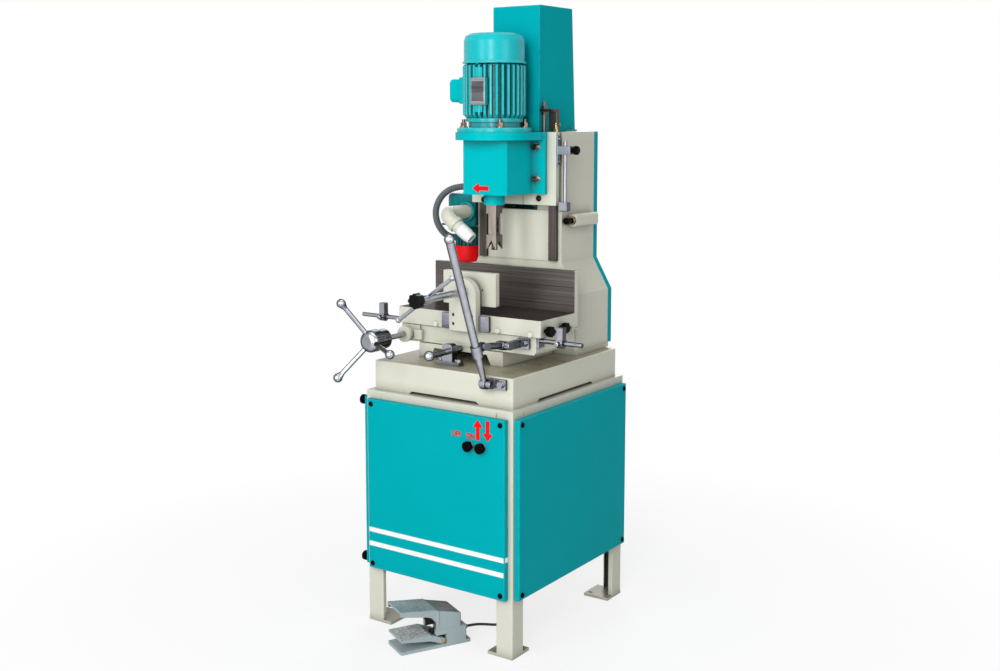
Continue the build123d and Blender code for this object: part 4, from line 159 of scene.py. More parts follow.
def edgeGroup(look):
    # how far a point lies on a rounded-over edge, and the normal of that edge
    outputs = {"Edge": "NodeSocketFloat", "Normal": "NodeSocketVector"}
    group, given, out = newGroup("roundedEdge", {"Radius": 0.001}, outputs)
    rounded = wire(group, "ShaderNodeBevel", {"Radius": given["Radius"]}, samples=look["samples"]).outputs[0]
    flat = group.nodes.new("ShaderNodeNewGeometry").outputs["True Normal"]
    away = maths(group, "SUBTRACT", 1.0, vectorMaths(group, "DOT_PRODUCT", {0: rounded, 1: flat}, "Value"))
    group.links.new(maths(group, "MULTIPLY", away, look["gain"], True), out["Edge"])
    group.links.new(rounded, out["Normal"])
    return group


# In each look below a pattern is a noise's scale and detail
enamelLook = {
    "drift": (4.0, 3.0),
    "cornerReach": 0.03, "cornerSamples": 4, "dirt": (0.035, 0.03, 0.025, 1),
    "rubHighlight": (45.0, 4.0), "rubHighlightStart": 0.32, "rubHighlightGain": 2.2, "paler": (0.12, 0.12, 0.12),
    "smear": (22.0, 5.0), "smearDepth": 0.22,
    "peel": (620.0, 1.0),
}


def enamelGroup(look):
    # sprayed enamel: slow colour drift, orange peel, edges paler in patches (worn paint and a painted edge
    # highlight), and grime with painted shade in the corners
    inputs = {"Color": (1, 1, 1, 1), "Drift": 0.05, "Gloss": 0.35, "Peel": 0.2,
              "Edge": 0.0, "RubAndHighlight": 0.35, "GrimeAndShade": 0.35}
    group, given, out = newGroup("sprayedEnamel", inputs, finishOutputs)
    place = objectPlace(group)
    shade = maths(group, "ADD", 1.0, waver(group, place, look["drift"], given["Drift"]))
    tinted = vectorMaths(group, "SCALE", {0: given["Color"], "Scale": shade})
    # painted shade: the colour darkens where occlusion says a corner lies in shade, which also stands for
    # grime there
    reach = {"Distance": look["cornerReach"]}
    corner = wire(group, "ShaderNodeAmbientOcclusion", reach, samples=look["cornerSamples"]).outputs["AO"]
    grimeAndShade = maths(group, "MULTIPLY", maths(group, "SUBTRACT", 1.0, corner), given["GrimeAndShade"], True)
    dirty = mixColor(group, grimeAndShade, tinted, look["dirt"])
    # painted highlight: edges turn paler in patches, for worn paint and for light caught along the edge
    patchy = patches(group, place, look["rubHighlight"], look["rubHighlightStart"], look["rubHighlightGain"])
    rubbedAndHighlit = maths(group, "MULTIPLY", maths(group, "MULTIPLY", given["Edge"], patchy), given["RubAndHighlight"], True)
    light = vectorMaths(group, "ADD", {0: given["Color"], 1: look["paler"]})
    group.links.new(mixColor(group, rubbedAndHighlit, dirty, light), out["Color"])
    smear = waver(group, place, look["smear"], look["smearDepth"])
    group.links.new(maths(group, "ADD", given["Gloss"], smear, True), out["Roughness"])
    peel = noise(group, place, *look["peel"])
    group.links.new(maths(group, "MULTIPLY", peel, given["Peel"]), out["Height"])
    return group


metalLook = {
    "fine": (1.0, 3.0, 0.6), "broad": (1.0, 2.0), "broadening": 0.17,
    "lineStart": 0.36, "lineGain": 3.4, "lineSmear": 0.35,
    "blots": (30.0, 5.0), "stain": (0.05, 0.045, 0.04, 1),
    "paler": (0.25, 0.25, 0.25), "edgeShare": 0.6,
}


def metalGroup(look):
    # turned or ground metal: fine lines along the tool's way, a few stains
    inputs = {"Color": (0.6, 0.6, 0.6, 1), "Second": (0.4, 0.4, 0.4, 1), "Gloss": 0.25,
              "Lines": (40.0, 900.0, 900.0), "Depth": 0.3, "Edge": 0.0, "Stain": 0.3}
    group, given, out = newGroup("cutMetal", inputs, finishOutputs)
    place = objectPlace(group)
    stretched = vectorMaths(group, "MULTIPLY", {0: place, 1: given["Lines"]})
    fine = noise(group, stretched, *look["fine"])
    wide = vectorMaths(group, "SCALE", {0: stretched, "Scale": look["broadening"]})
    broad = noise(group, wide, *look["broad"])
    lines = maths(group, "MULTIPLY", maths(group, "ADD", fine, broad), 0.5)
    risen = maths(group, "SUBTRACT", lines, look["lineStart"])
    spread = maths(group, "MULTIPLY", risen, look["lineGain"], True)
    colour = mixColor(group, spread, given["Second"], given["Color"])
    blots = patches(group, place, look["blots"], noiseMiddle, given["Stain"])
    stained = mixColor(group, blots, colour, look["stain"])
    bright = vectorMaths(group, "ADD", {0: colour, 1: look["paler"]})
    worn = maths(group, "MULTIPLY", given["Edge"], look["edgeShare"])
    group.links.new(mixColor(group, worn, stained, bright), out["Color"])
    uneven = maths(group, "MULTIPLY", maths(group, "SUBTRACT", lines, noiseMiddle), look["lineSmear"])
    group.links.new(maths(group, "ADD", given["Gloss"], uneven, True), out["Roughness"])
    group.links.new(maths(group, "MULTIPLY", lines, given["Depth"]), out["Height"])
    return group


mouldedLook = {
    "dust": (60.0, 5.0), "dustStart": 0.42, "dustColor": (0.42, 0.41, 0.38, 1),
    "paler": (0.06, 0.06, 0.06), "edgeShare": 0.4,
    "smear": (35.0, 3.0), "smearDepth": 0.25,
    "grain": (900.0, 2.0),
}


def mouldedGroup(look):
    # moulded plastic or rubber: faint flow marks, dust on it, paler edges
    inputs = {"Color": (0.02, 0.02, 0.02, 1), "Gloss": 0.3, "Grain": 0.2, "Edge": 0.0, "Dust": 0.1}
    group, given, out = newGroup("mouldedSkin", inputs, finishOutputs)
    place = objectPlace(group)
    cloudy = patches(group, place, look["dust"], look["dustStart"], given["Dust"])
    dusty = mixColor(group, cloudy, given["Color"], look["dustColor"])
    pale = vectorMaths(group, "ADD", {0: given["Color"], 1: look["paler"]})
    worn = maths(group, "MULTIPLY", given["Edge"], look["edgeShare"])
    group.links.new(mixColor(group, worn, dusty, pale), out["Color"])
    smear = waver(group, place, look["smear"], look["smearDepth"])
    group.links.new(maths(group, "ADD", given["Gloss"], smear, True), out["Roughness"])
    grain = noise(group, place, *look["grain"])
    group.links.new(maths(group, "MULTIPLY", grain, given["Grain"]), out["Height"])
    return group


hammeredLook = {"drift": (12.0, 4.0), "edgeShare": 0.5, "dulling": 0.15}


def hammeredGroup(look):
    # hammered paint on a casting: small dimples over a slow drift
    inputs = {"Color": (0.3, 0.3, 0.3, 1), "Second": (0.5, 0.5, 0.5, 1), "Gloss": 0.4, "Size": 320.0,
              "Depth": 1.0, "Edge": 0.0, "Speck": 1.0}
    group, given, out = newGroup("hammeredPaint", inputs, finishOutputs)
    place = objectPlace(group)
    links = {"Vector": place, "Scale": given["Size"]}
    cells = wire(group, "ShaderNodeTexVoronoi", links, feature="SMOOTH_F1").outputs["Distance"]
    drift = noise(group, place, *look["drift"])
    speck = maths(group, "MULTIPLY", maths(group, "MULTIPLY", cells, drift), given["Speck"], True)
    colour = mixColor(group, speck, given["Color"], given["Second"])
    worn = maths(group, "MULTIPLY", given["Edge"], look["edgeShare"])
    group.links.new(mixColor(group, worn, colour, given["Second"]), out["Color"])
    dull = maths(group, "MULTIPLY", cells, look["dulling"])
    group.links.new(maths(group, "ADD", given["Gloss"], dull, True), out["Roughness"])
    group.links.new(maths(group, "MULTIPLY", cells, given["Depth"]), out["Height"])
    return group


def insideGroup():
    # 1 inside a box of the object's own coordinates
    group, given, out = newGroup("insideBox", {"Low": (0, 0, 0), "High": (1, 1, 1)}, maskOutput)
    place = wire(group, "ShaderNodeSeparateXYZ", {0: objectPlace(group)}).outputs
    low = wire(group, "ShaderNodeSeparateXYZ", {0: given["Low"]}).outputs
    high = wire(group, "ShaderNodeSeparateXYZ", {0: given["High"]}).outputs
    mask = 1.0
    for axis in range(3):
        mask = maths(group, "MULTIPLY", mask, maths(group, "GREATER_THAN", place[axis], low[axis]))
        mask = maths(group, "MULTIPLY", mask, maths(group, "LESS_THAN", place[axis], high[axis]))
    group.links.new(mask, out["Mask"])
    return group


def beyondGroup():
    # 1 on the far side of a plane of the object's own coordinates
    group, given, out = newGroup("beyondPlane", {"Direction": (0, 0, 1), "Distance": 0.0}, maskOutput)
    along = vectorMaths(group, "DOT_PRODUCT", {0: objectPlace(group), 1: given["Direction"]}, "Value")
    group.links.new(maths(group, "GREATER_THAN", along, given["Distance"]), out["Mask"])
    return group


facingLimit = 0.95


def facingGroup():
    # 1 where the face looks along a direction of the object
    group, given, out = newGroup("facing", {"Direction": (0, 0, 1)}, maskOutput)
    normal = group.nodes.new("ShaderNodeTexCoord").outputs["Normal"]
    along = vectorMaths(group, "DOT_PRODUCT", {0: normal, 1: given["Direction"]}, "Value")
    group.links.new(maths(group, "GREATER_THAN", along, facingLimit), out["Mask"])
    return group


shared = {
    "edge": edgeGroup(edgeLook),
    "enamel": enamelGroup(enamelLook),
    "metal": metalGroup(metalLook),
    "moulded": mouldedGroup(mouldedLook),
    "hammered": hammeredGroup(hammeredLook),
    "inside": insideGroup(),
    "facing": facingGroup(),
    "beyond": beyondGroup(),
}
print("shader groups:", ", ".join(shared))


# Finishes: the group they use, what feeds it, and what stays the same all over
paint = {"group": "enamel", "metal": 0.0, "bump": 0.00012, "Gloss": 0.34, "Peel": 0.25}
creamPaint = {**paint, "specular": 0.22, "Color": srgb(218, 218, 203),
              "Drift": 0.06, "RubAndHighlight": 0.6, "GrimeAndShade": 0.8}
redPaint = {**paint, "bump": 0.0001, "specular": 0.1,
            "Gloss": 0.4, "Drift": 0.08, "Peel": 0.3, "RubAndHighlight": 0.2, "GrimeAndShade": 0.4}
metal = {"group": "metal", "metal": 1.0}
polish = {**metal, "bump": 0.000001, "specular": 0.12,
          "Lines": (45.0, 45.0, 45.0), "Depth": 0.1, "Stain": 0.12}
plateMetal = {**metal, "bump": 0.00002,
              "Gloss": 0.4, "Lines": (20.0, 300.0, 300.0), "Depth": 0.3, "Stain": 0.4}
moulding = {"group": "moulded", "metal": 0.0, "bump": 0.00006, "specular": 0.3}
whiteSkin = {**moulding, "specular": 0.25, "Gloss": 0.36, "Grain": 0.2, "Dust": 0.03}
casting = {"group": "hammered", "metal": 0.0, "specular": 0.35}
finishes = {
    "cream": creamPaint,
    "tableCream": {**creamPaint, "edgeTint": 0.12},
    # teal (head, collar, terminal box) and motor are a lighter, lit copy of the machine's one teal paint, and
    # panel a darker, shaded copy for the stand's panels and covers; the panel's strong edge rub also paints a
    # highlight along its edges
    "teal": {**paint, "specular": 0.03, "Color": srgb(0, 187, 194), "Drift": 0.08, "RubAndHighlight": 0.5, "GrimeAndShade": 0.75},
    "motor": {**paint, "bump": 0.00008, "specular": 0.3, "Color": srgb(0, 186, 193),
              "Gloss": 0.26, "Drift": 0.08, "Peel": 0.2, "RubAndHighlight": 1.0, "GrimeAndShade": 0.85},
    # a darker cream for top faces: oil on them, and painted shade that falls on them
    "oiledAndShaded": {**paint, "specular": 0.3, "Color": srgb(158, 153, 130),
              "Gloss": 0.3, "Drift": 0.3, "RubAndHighlight": 0.6, "GrimeAndShade": 0.9},
    # a near-black for hollows: painted shade inside them
    "hollowShade": {**paint, "specular": 0.1, "Color": srgb(62, 60, 54),
             "Gloss": 0.5, "Drift": 0.3, "RubAndHighlight": 0.1, "GrimeAndShade": 0.9},
    "panel": {**paint, "specular": 0.02, "round": 0.003, "Color": srgb(0, 170, 179),
              "Drift": 0.08, "RubAndHighlight": 1.6, "GrimeAndShade": 0.3},
    "darkTeal": {**paint, "bump": 0.00018, "specular": 0.15, "Color": srgb(0, 124, 128),
                 "Gloss": 0.4, "Drift": 0.2, "Peel": 0.5, "RubAndHighlight": 0.4, "GrimeAndShade": 0.85},
    "red": {**redPaint, "Color": srgb(252, 18, 26)},
    "deepRed": {**redPaint, "Color": srgb(232, 12, 20)},
    "grey": {**paint, "bump": 0.0001, "specular": 0.4, "Color": srgb(120, 126, 128),
             "Gloss": 0.5, "Drift": 0.1, "Peel": 0.3, "RubAndHighlight": 0.3, "GrimeAndShade": 0.5},
    "steel": {**polish, "Color": srgb(204, 207, 215), "Second": srgb(172, 175, 184),
              "Gloss": 0.19, "rim": 0.52, "dark": srgb(26, 28, 36)},
    "brightSteel": {**polish, "Color": srgb(226, 228, 233), "Second": srgb(200, 203, 210),
                    "Gloss": 0.2, "Stain": 0.1, "rim": 0.8, "dark": srgb(40, 42, 50)},
    "satinSteel": {**polish, "Color": srgb(164, 167, 176), "Second": srgb(140, 143, 152),
                   "Gloss": 0.4, "rim": 0.62, "dark": srgb(26, 28, 36)},
    "shaftSteel": {**polish, "Color": srgb(186, 189, 197), "Second": srgb(150, 153, 162), "Gloss": 0.22},
    "nutSteel": {**metal, "bump": 0.00001, "Color": srgb(134, 116, 104), "Second": srgb(84, 70, 62),
                 "Gloss": 0.26, "Lines": (120.0, 120.0, 120.0), "Depth": 0.2, "Stain": 0.3,
                 "rim": 0.8, "dark": srgb(30, 25, 22)},
    "blackSteel": {**metal, "bump": 0.00002, "Color": srgb(98, 92, 88), "Second": srgb(60, 56, 54),
                   "Gloss": 0.36, "Lines": (260.0, 260.0, 8.0), "Depth": 0.4, "Stain": 0.3},
    "ground": {**metal, "metal": 0.75, "bump": 0.00003,
               "Color": srgb(116, 110, 105), "Second": srgb(64, 60, 57),
               "Gloss": 0.4, "Lines": (4.0, 900.0, 900.0), "Depth": 0.5, "Stain": 0.4},
    "toolSteel": {**metal, "bump": 0.000004, "Color": srgb(203, 193, 186), "Second": srgb(157, 146, 138),
                  "Gloss": 0.38, "Lines": (70.0, 70.0, 6.0), "Depth": 0.2, "Stain": 0.3,
                  "rim": 0.62, "dark": srgb(44, 36, 33)},
    "chrome": {**metal, "bump": 0.00001, "Color": srgb(225, 226, 230), "Second": srgb(200, 202, 208),
               "Gloss": 0.1, "Lines": (60.0, 60.0, 60.0), "Depth": 0.1, "Stain": 0.1,
               "rim": 0.85, "dark": srgb(50, 52, 58)},
    "brass": {**metal, "bump": 0.000004, "Color": srgb(206, 178, 132), "Second": srgb(158, 124, 78),
              "Gloss": 0.24, "Lines": (200.0, 200.0, 200.0), "Depth": 0.2, "Stain": 0.3,
              "rim": 0.8, "dark": srgb(64, 42, 20)},
    "plate": {**plateMetal, "Color": srgb(170, 166, 165), "Second": srgb(130, 126, 126)},
    "plateField": {**plateMetal, "metal": 0.6, "Color": srgb(104, 108, 112), "Second": srgb(66, 70, 74)},
    "black": {**moulding, "bump": 0.00005, "specular": 0.03, "Color": srgb(8, 7, 8),
              "Gloss": 0.22, "Grain": 0.2, "Dust": 0.0},
    "rubber": {**moulding, "Color": srgb(30, 31, 34), "Gloss": 0.4, "Grain": 0.3, "Dust": 0.15},
    "conduit": {**moulding, "Color": srgb(92, 99, 103), "Gloss": 0.38, "Grain": 0.3, "Dust": 0.1},
    "pipe": {**moulding, "Color": srgb(214, 214, 199), "Gloss": 0.36, "Grain": 0.2, "Dust": 0.1},
    "boltPaint": {**whiteSkin, "Color": srgb(229, 229, 220)},
    "white": {**whiteSkin, "Color": srgb(248, 249, 248)},
    "pedal": {**casting, "bump": 0.0001, "Color": srgb(156, 172, 175), "Second": srgb(186, 199, 200),
              "Gloss": 0.36, "Size": 520.0, "Depth": 0.4},
    "pedalTop": {**casting, "bump": 0.0002, "Color": srgb(84, 100, 104), "Second": srgb(160, 174, 176),
                 "Gloss": 0.42, "Size": 420.0, "Depth": 0.6, "Speck": 1.6},
    "hoodTread": {**casting, "bump": 0.0004, "specular": 0.2, "Color": srgb(84, 97, 101),
                  "Second": srgb(196, 206, 208), "Gloss": 0.5, "Size": 330.0, "Depth": 0.8, "Speck": 2.2},
    "tread": {**casting, "bump": 0.0008, "specular": 0.4, "Color": srgb(96, 110, 114),
              "Second": srgb(232, 238, 238), "Gloss": 0.4, "Size": 260.0, "Depth": 1.2, "Speck": 2.6},
}
edgeRadius = 0.0011
plainSpecular = 0.5
rimShadeLook = {"blend": 0.5, "start": 0.1}   # painted reflection: polished metal is painted darker from here to its finish's rim value


def layFinish(tree, values, edge):
    node = wire(tree, "ShaderNodeGroup", node_tree=shared[values["group"]])
    for key, value in values.items():
        if key in node.inputs:
            node.inputs[key].default_value = value
    tree.links.new(edge, node.inputs["Edge"])
    height = maths(tree, "MULTIPLY", node.outputs["Height"], values["bump"])
    colour = node.outputs["Color"]
    # painted reflection: polished metal is painted darker towards glancing angles, standing in for dark
    # surroundings reflected along its rim
    if "rim" in values:
        facing = wire(tree, "ShaderNodeLayerWeight", {"Blend": rimShadeLook["blend"]}).outputs["Facing"]
        span = {"Value": facing, "From Min": rimShadeLook["start"], "From Max": values["rim"]}
        rim = wire(tree, "ShaderNodeMapRange", span).outputs[0]
        colour = mixColor(tree, rim, colour, values["dark"])
    return {"color": colour, "rough": node.outputs["Roughness"], "metal": values["metal"], "height": height}


def regionMask(tree, where):
    masks = []
    for low, high in where.get("boxes", ()):
        masks.append(wire(tree, "ShaderNodeGroup", {"Low": low, "High": high}, node_tree=shared["inside"]))
    for direction, distance in where.get("beyond", ()):
        values = {"Direction": direction, "Distance": distance}
        masks.append(wire(tree, "ShaderNodeGroup", values, node_tree=shared["beyond"]))
    if "faces" in where:
        masks.append(wire(tree, "ShaderNodeGroup", {"Direction": where["faces"]}, node_tree=shared["facing"]))
    mask = masks[0].outputs["Mask"]
    for other in masks[1:]:
        mask = maths(tree, "MULTIPLY", mask, other.outputs["Mask"])
    return mask


def makeMaterial(name, finish, regions=()):
    values = finishes[finish]
    material = bpy.data.materials.new(name)
    material.use_nodes = True
    tree = material.node_tree
    shader = tree.nodes["Principled BSDF"]
    radius = values.get("round", edgeRadius)
    edge = wire(tree, "ShaderNodeGroup", {"Radius": radius}, node_tree=shared["edge"])
    look = layFinish(tree, values, edge.outputs["Edge"])
    for where in regions:
        mask = regionMask(tree, where)
        other = layFinish(tree, finishes[where["finish"]], edge.outputs["Edge"])
        for key in look:
            mix = mixColor if key == "color" else mixValue
            if look[key] != other[key]:
                look[key] = mix(tree, mask, look[key], other[key])
    tree.links.new(look["color"], shader.inputs["Base Color"])
    tree.links.new(look["rough"], shader.inputs["Roughness"])
    shader.inputs["Specular IOR Level"].default_value = values.get("specular", plainSpecular)
    if "edgeTint" in values:
        shader.inputs["Specular Tint"].default_value = (*[values["edgeTint"]] * 3, 1)
    if isinstance(look["metal"], float):
        shader.inputs["Metallic"].default_value = look["metal"]
    else:
        tree.links.new(look["metal"], shader.inputs["Metallic"])
    relief = {"Height": look["height"], "Normal": edge.outputs["Normal"], "Distance": 1.0}
    tree.links.new(wire(tree, "ShaderNodeBump", relief).outputs[0], shader.inputs["Normal"])
    return material


plain = {}


def finishMaterial(finish):
    if finish not in plain:
        plain[finish] = makeMaterial(finish, finish)
    return plain[finish]


def dress(node, finish, *regions):
    material = makeMaterial(node, finish, regions) if regions else finishMaterial(finish)
    slots = nodes[node].data.materials
    slots.clear()
    slots.append(material)


# CAD nodes by finish
nodeFinishes = {
    "cream": ["frame_rails", "cross_way", "saddle", "vise_jaw", "column"],
    "teal": ["head", "terminal_box"],
    "motor": ["motor_cowl"],
    "panel": ["front_panel", "rear_panel", "right_panel", "left_panel", "rear_cover", "cylinder_cover"],
    "steel": ["base_brackets", "cross_stop_screw", "hand_lever", "saddle_fittings", "lever_link",
              "table_rack", "left_stop", "right_stop", "spindle"],
    "satinSteel": ["depth_bracket", "depth_rod"],
    "blackSteel": ["guide_rails", "auger_bit"],
    "toolSteel": ["chisel"],
    "chrome": ["button_bezels", "piston_rod"],
    "black": ["panel_fasteners", "off_button", "on_button", "front_lock_knob", "rear_lock_knob",
              "switch_plunger", "depth_knob"],
    "grey": ["power_pack", "hydraulic_cylinder", "blower_fan"],
}
for finish, names in nodeFinishes.items():
    for name in names:
        dress(name, finish)


# CAD nodes with more than one finish, and where each starts
slabMargin = 0.01
skin = 0.001
up = (0, 0, 1)
front = (0, -1, 0)


def slab(node, axis, low=None, high=None):
    # a slice of a node's box along one axis
    first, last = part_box(node)
    start = [value - slabMargin for value in first]
    end = [value + slabMargin for value in last]
    if low is not None:
        start[axis] = low
    if high is not None:
        end[axis] = high
    return tuple(start), tuple(end)


def region(finish, **where):
    return {"finish": finish, **where}


def dot(first, second):
    return sum(a * b for a, b in zip(first, second))


def flip(direction):
    return tuple(-value for value in direction)


baseTop = 0.716
# the base's top face gets the darker cream: oil, and painted shade under the table and saddle
dress("machine_base", "cream", region("oiledAndShaded", faces=up, boxes=[slab("machine_base", 2, low=baseTop - skin)]))

leg = {"corner": (0.235, 0.277), "inside": (0.0475, 0.0025), "foot": 0.0085, "top": 0.625}


def legInside(sides, values):
    # the hollow between a leg's two walls
    spans = []
    for side, corner in zip(sides, values["corner"]):
        spans.append(sorted(side * (corner - inset) for inset in values["inside"]))
    (lowX, highX), (lowY, highY) = spans
    return (lowX, lowY, values["foot"]), (highX, highY, values["top"])


# each leg's hollow gets the near-black: painted shade inside it
legSides = [(sideX, sideY) for sideX in (-1, 1) for sideY in (-1, 1)]
# the feet's top faces get the darker cream: oil, and painted shade
dress("legs", "cream", region("oiledAndShaded", faces=up, boxes=[slab("legs", 2, high=leg["foot"])]),
      *[region("hollowShade", boxes=[legInside(sides, leg)]) for sides in legSides])

tableTop = 0.846
gibFace = -0.1451
dress("table", "tableCream", region("ground", faces=up, boxes=[slab("table", 2, low=tableTop - skin)]),
      region("boltPaint", boxes=[slab("table", 1, high=gibFace)]))
dress("fence", "cream", region("ground", faces=front), region("ground", faces=up))

bracketHalf = 0.0432
dress("vise_bracket", "cream", region("steel", boxes=[slab("vise_bracket", 0, low=bracketHalf)]),
      region("steel", boxes=[slab("vise_bracket", 0, high=-bracketHalf)]))
starKnob = -0.3458
dress("vise_screw", "shaftSteel", region("black", boxes=[slab("vise_screw", 1, high=starKnob)]))
switchRing = 0.1349
dress("switch_housing", "cream", region("brass", boxes=[slab("switch_housing", 1, high=switchRing)]))

capstanShaft = (-0.2479, -0.1)   # between the hub and the saddle
shaftBox = (slab("capstan", 1, low=capstanShaft[0])[0], slab("capstan", 1, high=capstanShaft[1])[1])
dress("capstan", "steel", region("shaftSteel", boxes=[shaftBox]))

# a lighter teal on the outlet's lip: a painted highlight ring round the outlet
outletLipHighlight = ((-0.205, 0.0845, 1.06), (-0.135, 0.0942, 1.125))
dress("scroll_housing", "darkTeal", region("teal", boxes=[outletLipHighlight]))
cowlTop = 0.9891
dress("blower_motor", "darkTeal", region("red", boxes=[slab("blower_motor", 2, high=cowlTop)]))

plateBox = ((-0.0155, -0.1054, 1.3892), (0.0295, -0.10395, 1.4588))
plateInner = ((-0.012, -0.1054, 1.3985), (0.026, -0.10395, 1.4495))
dress("motor_body", "motor", region("plate", boxes=[plateBox]), region("plateField", boxes=[plateInner]))

carriageScrews = 0.0709
dress("carriage", "cream", region("black", boxes=[slab("carriage", 1, high=carriageScrews)]))
washers = ((-0.2, 0.0558, 1.1), (0.2, 0.08, 1.31))
oilFitting = ((0.1, 0.06, 1.31), (0.16, 0.1, 1.36))
dress("head_fasteners", "nutSteel", region("brightSteel", boxes=[washers]),
      region("brass", boxes=[oilFitting]))

# Pieces cut off by a slanting plane: where it stands, and which way it looks
clampScrew = {"turn": -125, "middle": (0, -0.018, 1.139), "out": 0.0321}
aside = math.radians(clampScrew["turn"])
away = (math.cos(aside), math.sin(aside), 0)
dress("collar", "teal", region("black", beyond=[(away, dot(away, clampScrew["middle"]) + clampScrew["out"])]))

nozzle = {"elbow": (-0.172, -0.016, 1.093), "tip": (-0.086, -0.004, 1.027), "length": 0.0425}
away = (Vector(nozzle["tip"]) - Vector(nozzle["elbow"])).normalized()
dress("blower_pipe", "pipe", region("white", beyond=[(away, dot(away, nozzle["tip"]) - nozzle["length"])]))

pedal = {
    "turn": 27.9, "middle": (-0.005, -0.307, 0), "halfWidth": 0.0441,
    "hoodSlope": 0.115, "rearSlope": 0.25, "rearHigh": 0.101, "rearStart": 0.0005,
    "tip": (-0.0985, 0.114),   # the hood's front end: along the pedal, and its height
    "seam": 0.002, "labelStart": 0.03, "labelFace": 0.0004,
    "baseHollow": (0.0305, 0.001, 0.079), "baseFloor": 0.0075,
    "hoodHollow": (0.0385, -0.0985, 0.0675), "hoodWall": 0.003,
}
turn = math.radians(pedal["turn"])
along = (math.sin(turn), math.cos(turn), 0)
across = (math.cos(turn), -math.sin(turn), 0)
over = Vector((along[0] * pedal["hoodSlope"], along[1] * pedal["hoodSlope"], 1)).normalized()
behind = Vector((along[0] * pedal["rearSlope"], along[1] * pedal["rearSlope"], 1)).normalized()
middle = pedal["middle"]
middleAlong, middleAcross = dot(along, middle), dot(across, middle)
rearLevel = dot(behind, middle) + behind[2] * (pedal["rearHigh"] + pedal["rearSlope"] * pedal["rearStart"])
tipAlong, tipHigh = pedal["tip"]
hoodTop = (middle[0] + along[0] * tipAlong, middle[1] + along[1] * tipAlong, tipHigh)


def between(half, near, far):
    # planes that leave the pedal's middle, half wide, from near to far along it
    return [(across, middleAcross - half), (flip(across), -middleAcross - half),
            (along, middleAlong + near), (flip(along), -middleAlong - far)]


# the pedal base's hollow gets the near-black: painted shade inside it
inBase = between(*pedal["baseHollow"]) + [(up, pedal["baseFloor"])]
dress("pedal_base", "pedal", region("hollowShade", beyond=inBase),
      region("brass", beyond=[(across, middleAcross + pedal["halfWidth"])]),
      region("brass", beyond=[(flip(across), pedal["halfWidth"] - middleAcross)]))
# the hood's inside and underside get the near-black: painted shade under the hood
inHood = between(*pedal["hoodHollow"]) + [
    (flip(over), pedal["hoodWall"] - dot(over, hoodTop)),
    (flip(behind), pedal["hoodWall"] - rearLevel),
]
onLabel = [(behind, rearLevel + pedal["labelFace"]), (along, middleAlong + pedal["labelStart"])]
dress("pedal_hood", "pedal", region("hoodTread", faces=over), region("hollowShade", beyond=inHood),
      region("pedalTop", faces=behind, beyond=[(along, middleAlong + pedal["seam"])]),
      region("plate", beyond=onLabel))
dress("treadle", "pedal", region("tread", faces=up))
print("CAD nodes dressed")


# Cords: the routes repeat the part's own points, in metres
cordCurve = {"order": 3, "steps": 8, "roundness": 4}
pedalLead = {
    "route": [
        (0.04531, -0.212, 0.024), (0.05747, -0.18902, 0.024), (0.073, -0.160, 0.017), (0.086, -0.130, 0.008),
        (0.091, -0.097, 0.004), (0.079, -0.062, 0.004), (0.054, -0.020, 0.004), (0.018, 0.032, 0.004),
        (-0.024, 0.086, 0.004), (-0.064, 0.136, 0.004), (-0.093, 0.171, 0.008), (-0.108, 0.190, 0.032),
        (-0.112, 0.196, 0.066), (-0.110, 0.195, 0.106), (-0.110, 0.195, 0.145),
    ],
    "diameter": 0.007,
    "length": 0.599,
}


def routeCurve(name, route):
    curve = bpy.data.curves.new(name, "CURVE")
    curve.dimensions = "3D"
    spline = curve.splines.new("NURBS")
    spline.points.add(len(route) - 1)
    for point, spot in zip(spline.points, route):
        point.co = (*spot, 1)
    spline.order_u = cordCurve["order"]
    spline.use_endpoint_u = True
    curve.resolution_u = cordCurve["steps"]
    return curve


def makeLead(values):
    curve = routeCurve("pedalLead", values["route"])
    curve.bevel_depth = values["diameter"] / 2
    curve.bevel_resolution = cordCurve["roundness"]
    lead = bpy.data.objects.new("pedalLead", curve)
    bpy.context.collection.objects.link(lead)
    curve.materials.append(finishMaterial("rubber"))
    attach(lead, "stand")
    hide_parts("pedal_lead")


blowerConduit = {
    "route": [
        (-0.148, 0.152, 1.160), (-0.172, 0.152, 1.160), (-0.209, 0.140, 1.162), (-0.242, 0.112, 1.156),
        (-0.264, 0.091, 1.133), (-0.276, 0.081, 1.098), (-0.277, 0.086, 1.061), (-0.273, 0.108, 1.030),
        (-0.271, 0.136, 1.014), (-0.272, 0.166, 1.008), (-0.272, 0.186, 1.008),
    ],
    "diameter": 0.020,
    "length": 0.337,
    "pitch": 0.006,
    "ringsPerPitch": 8,
    "groove": 0.0016,
    "ribWidth": 0.6,    # smaller makes the ribs wider and the grooves narrower
    "cuff": 0.018,      # plain length at each end
    "cuffDepth": 0.7,   # how far the cuff lies below the ribs, as a share of the groove
    "sides": 24,
}


def splinePoints(route):
    # the route's NURBS line, read back as points
    carrier = bpy.data.objects.new("routeCarrier", routeCurve("routeCarrier", route))
    mesh = bpy.data.meshes.new_from_object(carrier)
    points = [vertex.co.copy() for vertex in mesh.vertices]
    curve = carrier.data
    bpy.data.objects.remove(carrier)
    bpy.data.curves.remove(curve)
    bpy.data.meshes.remove(mesh)
    return points


def walkLine(points, step):
    # places and directions every step along a line of points
    spots = []
    carried = 0.0
    for start, end in zip(points, points[1:]):
        run = end - start
        while carried <= run.length:
            spots.append((start + run.normalized() * carried, run.normalized()))
            carried += step
        carried -= run.length
    spots.append((points[-1], (points[-1] - points[-2]).normalized()))
    return spots


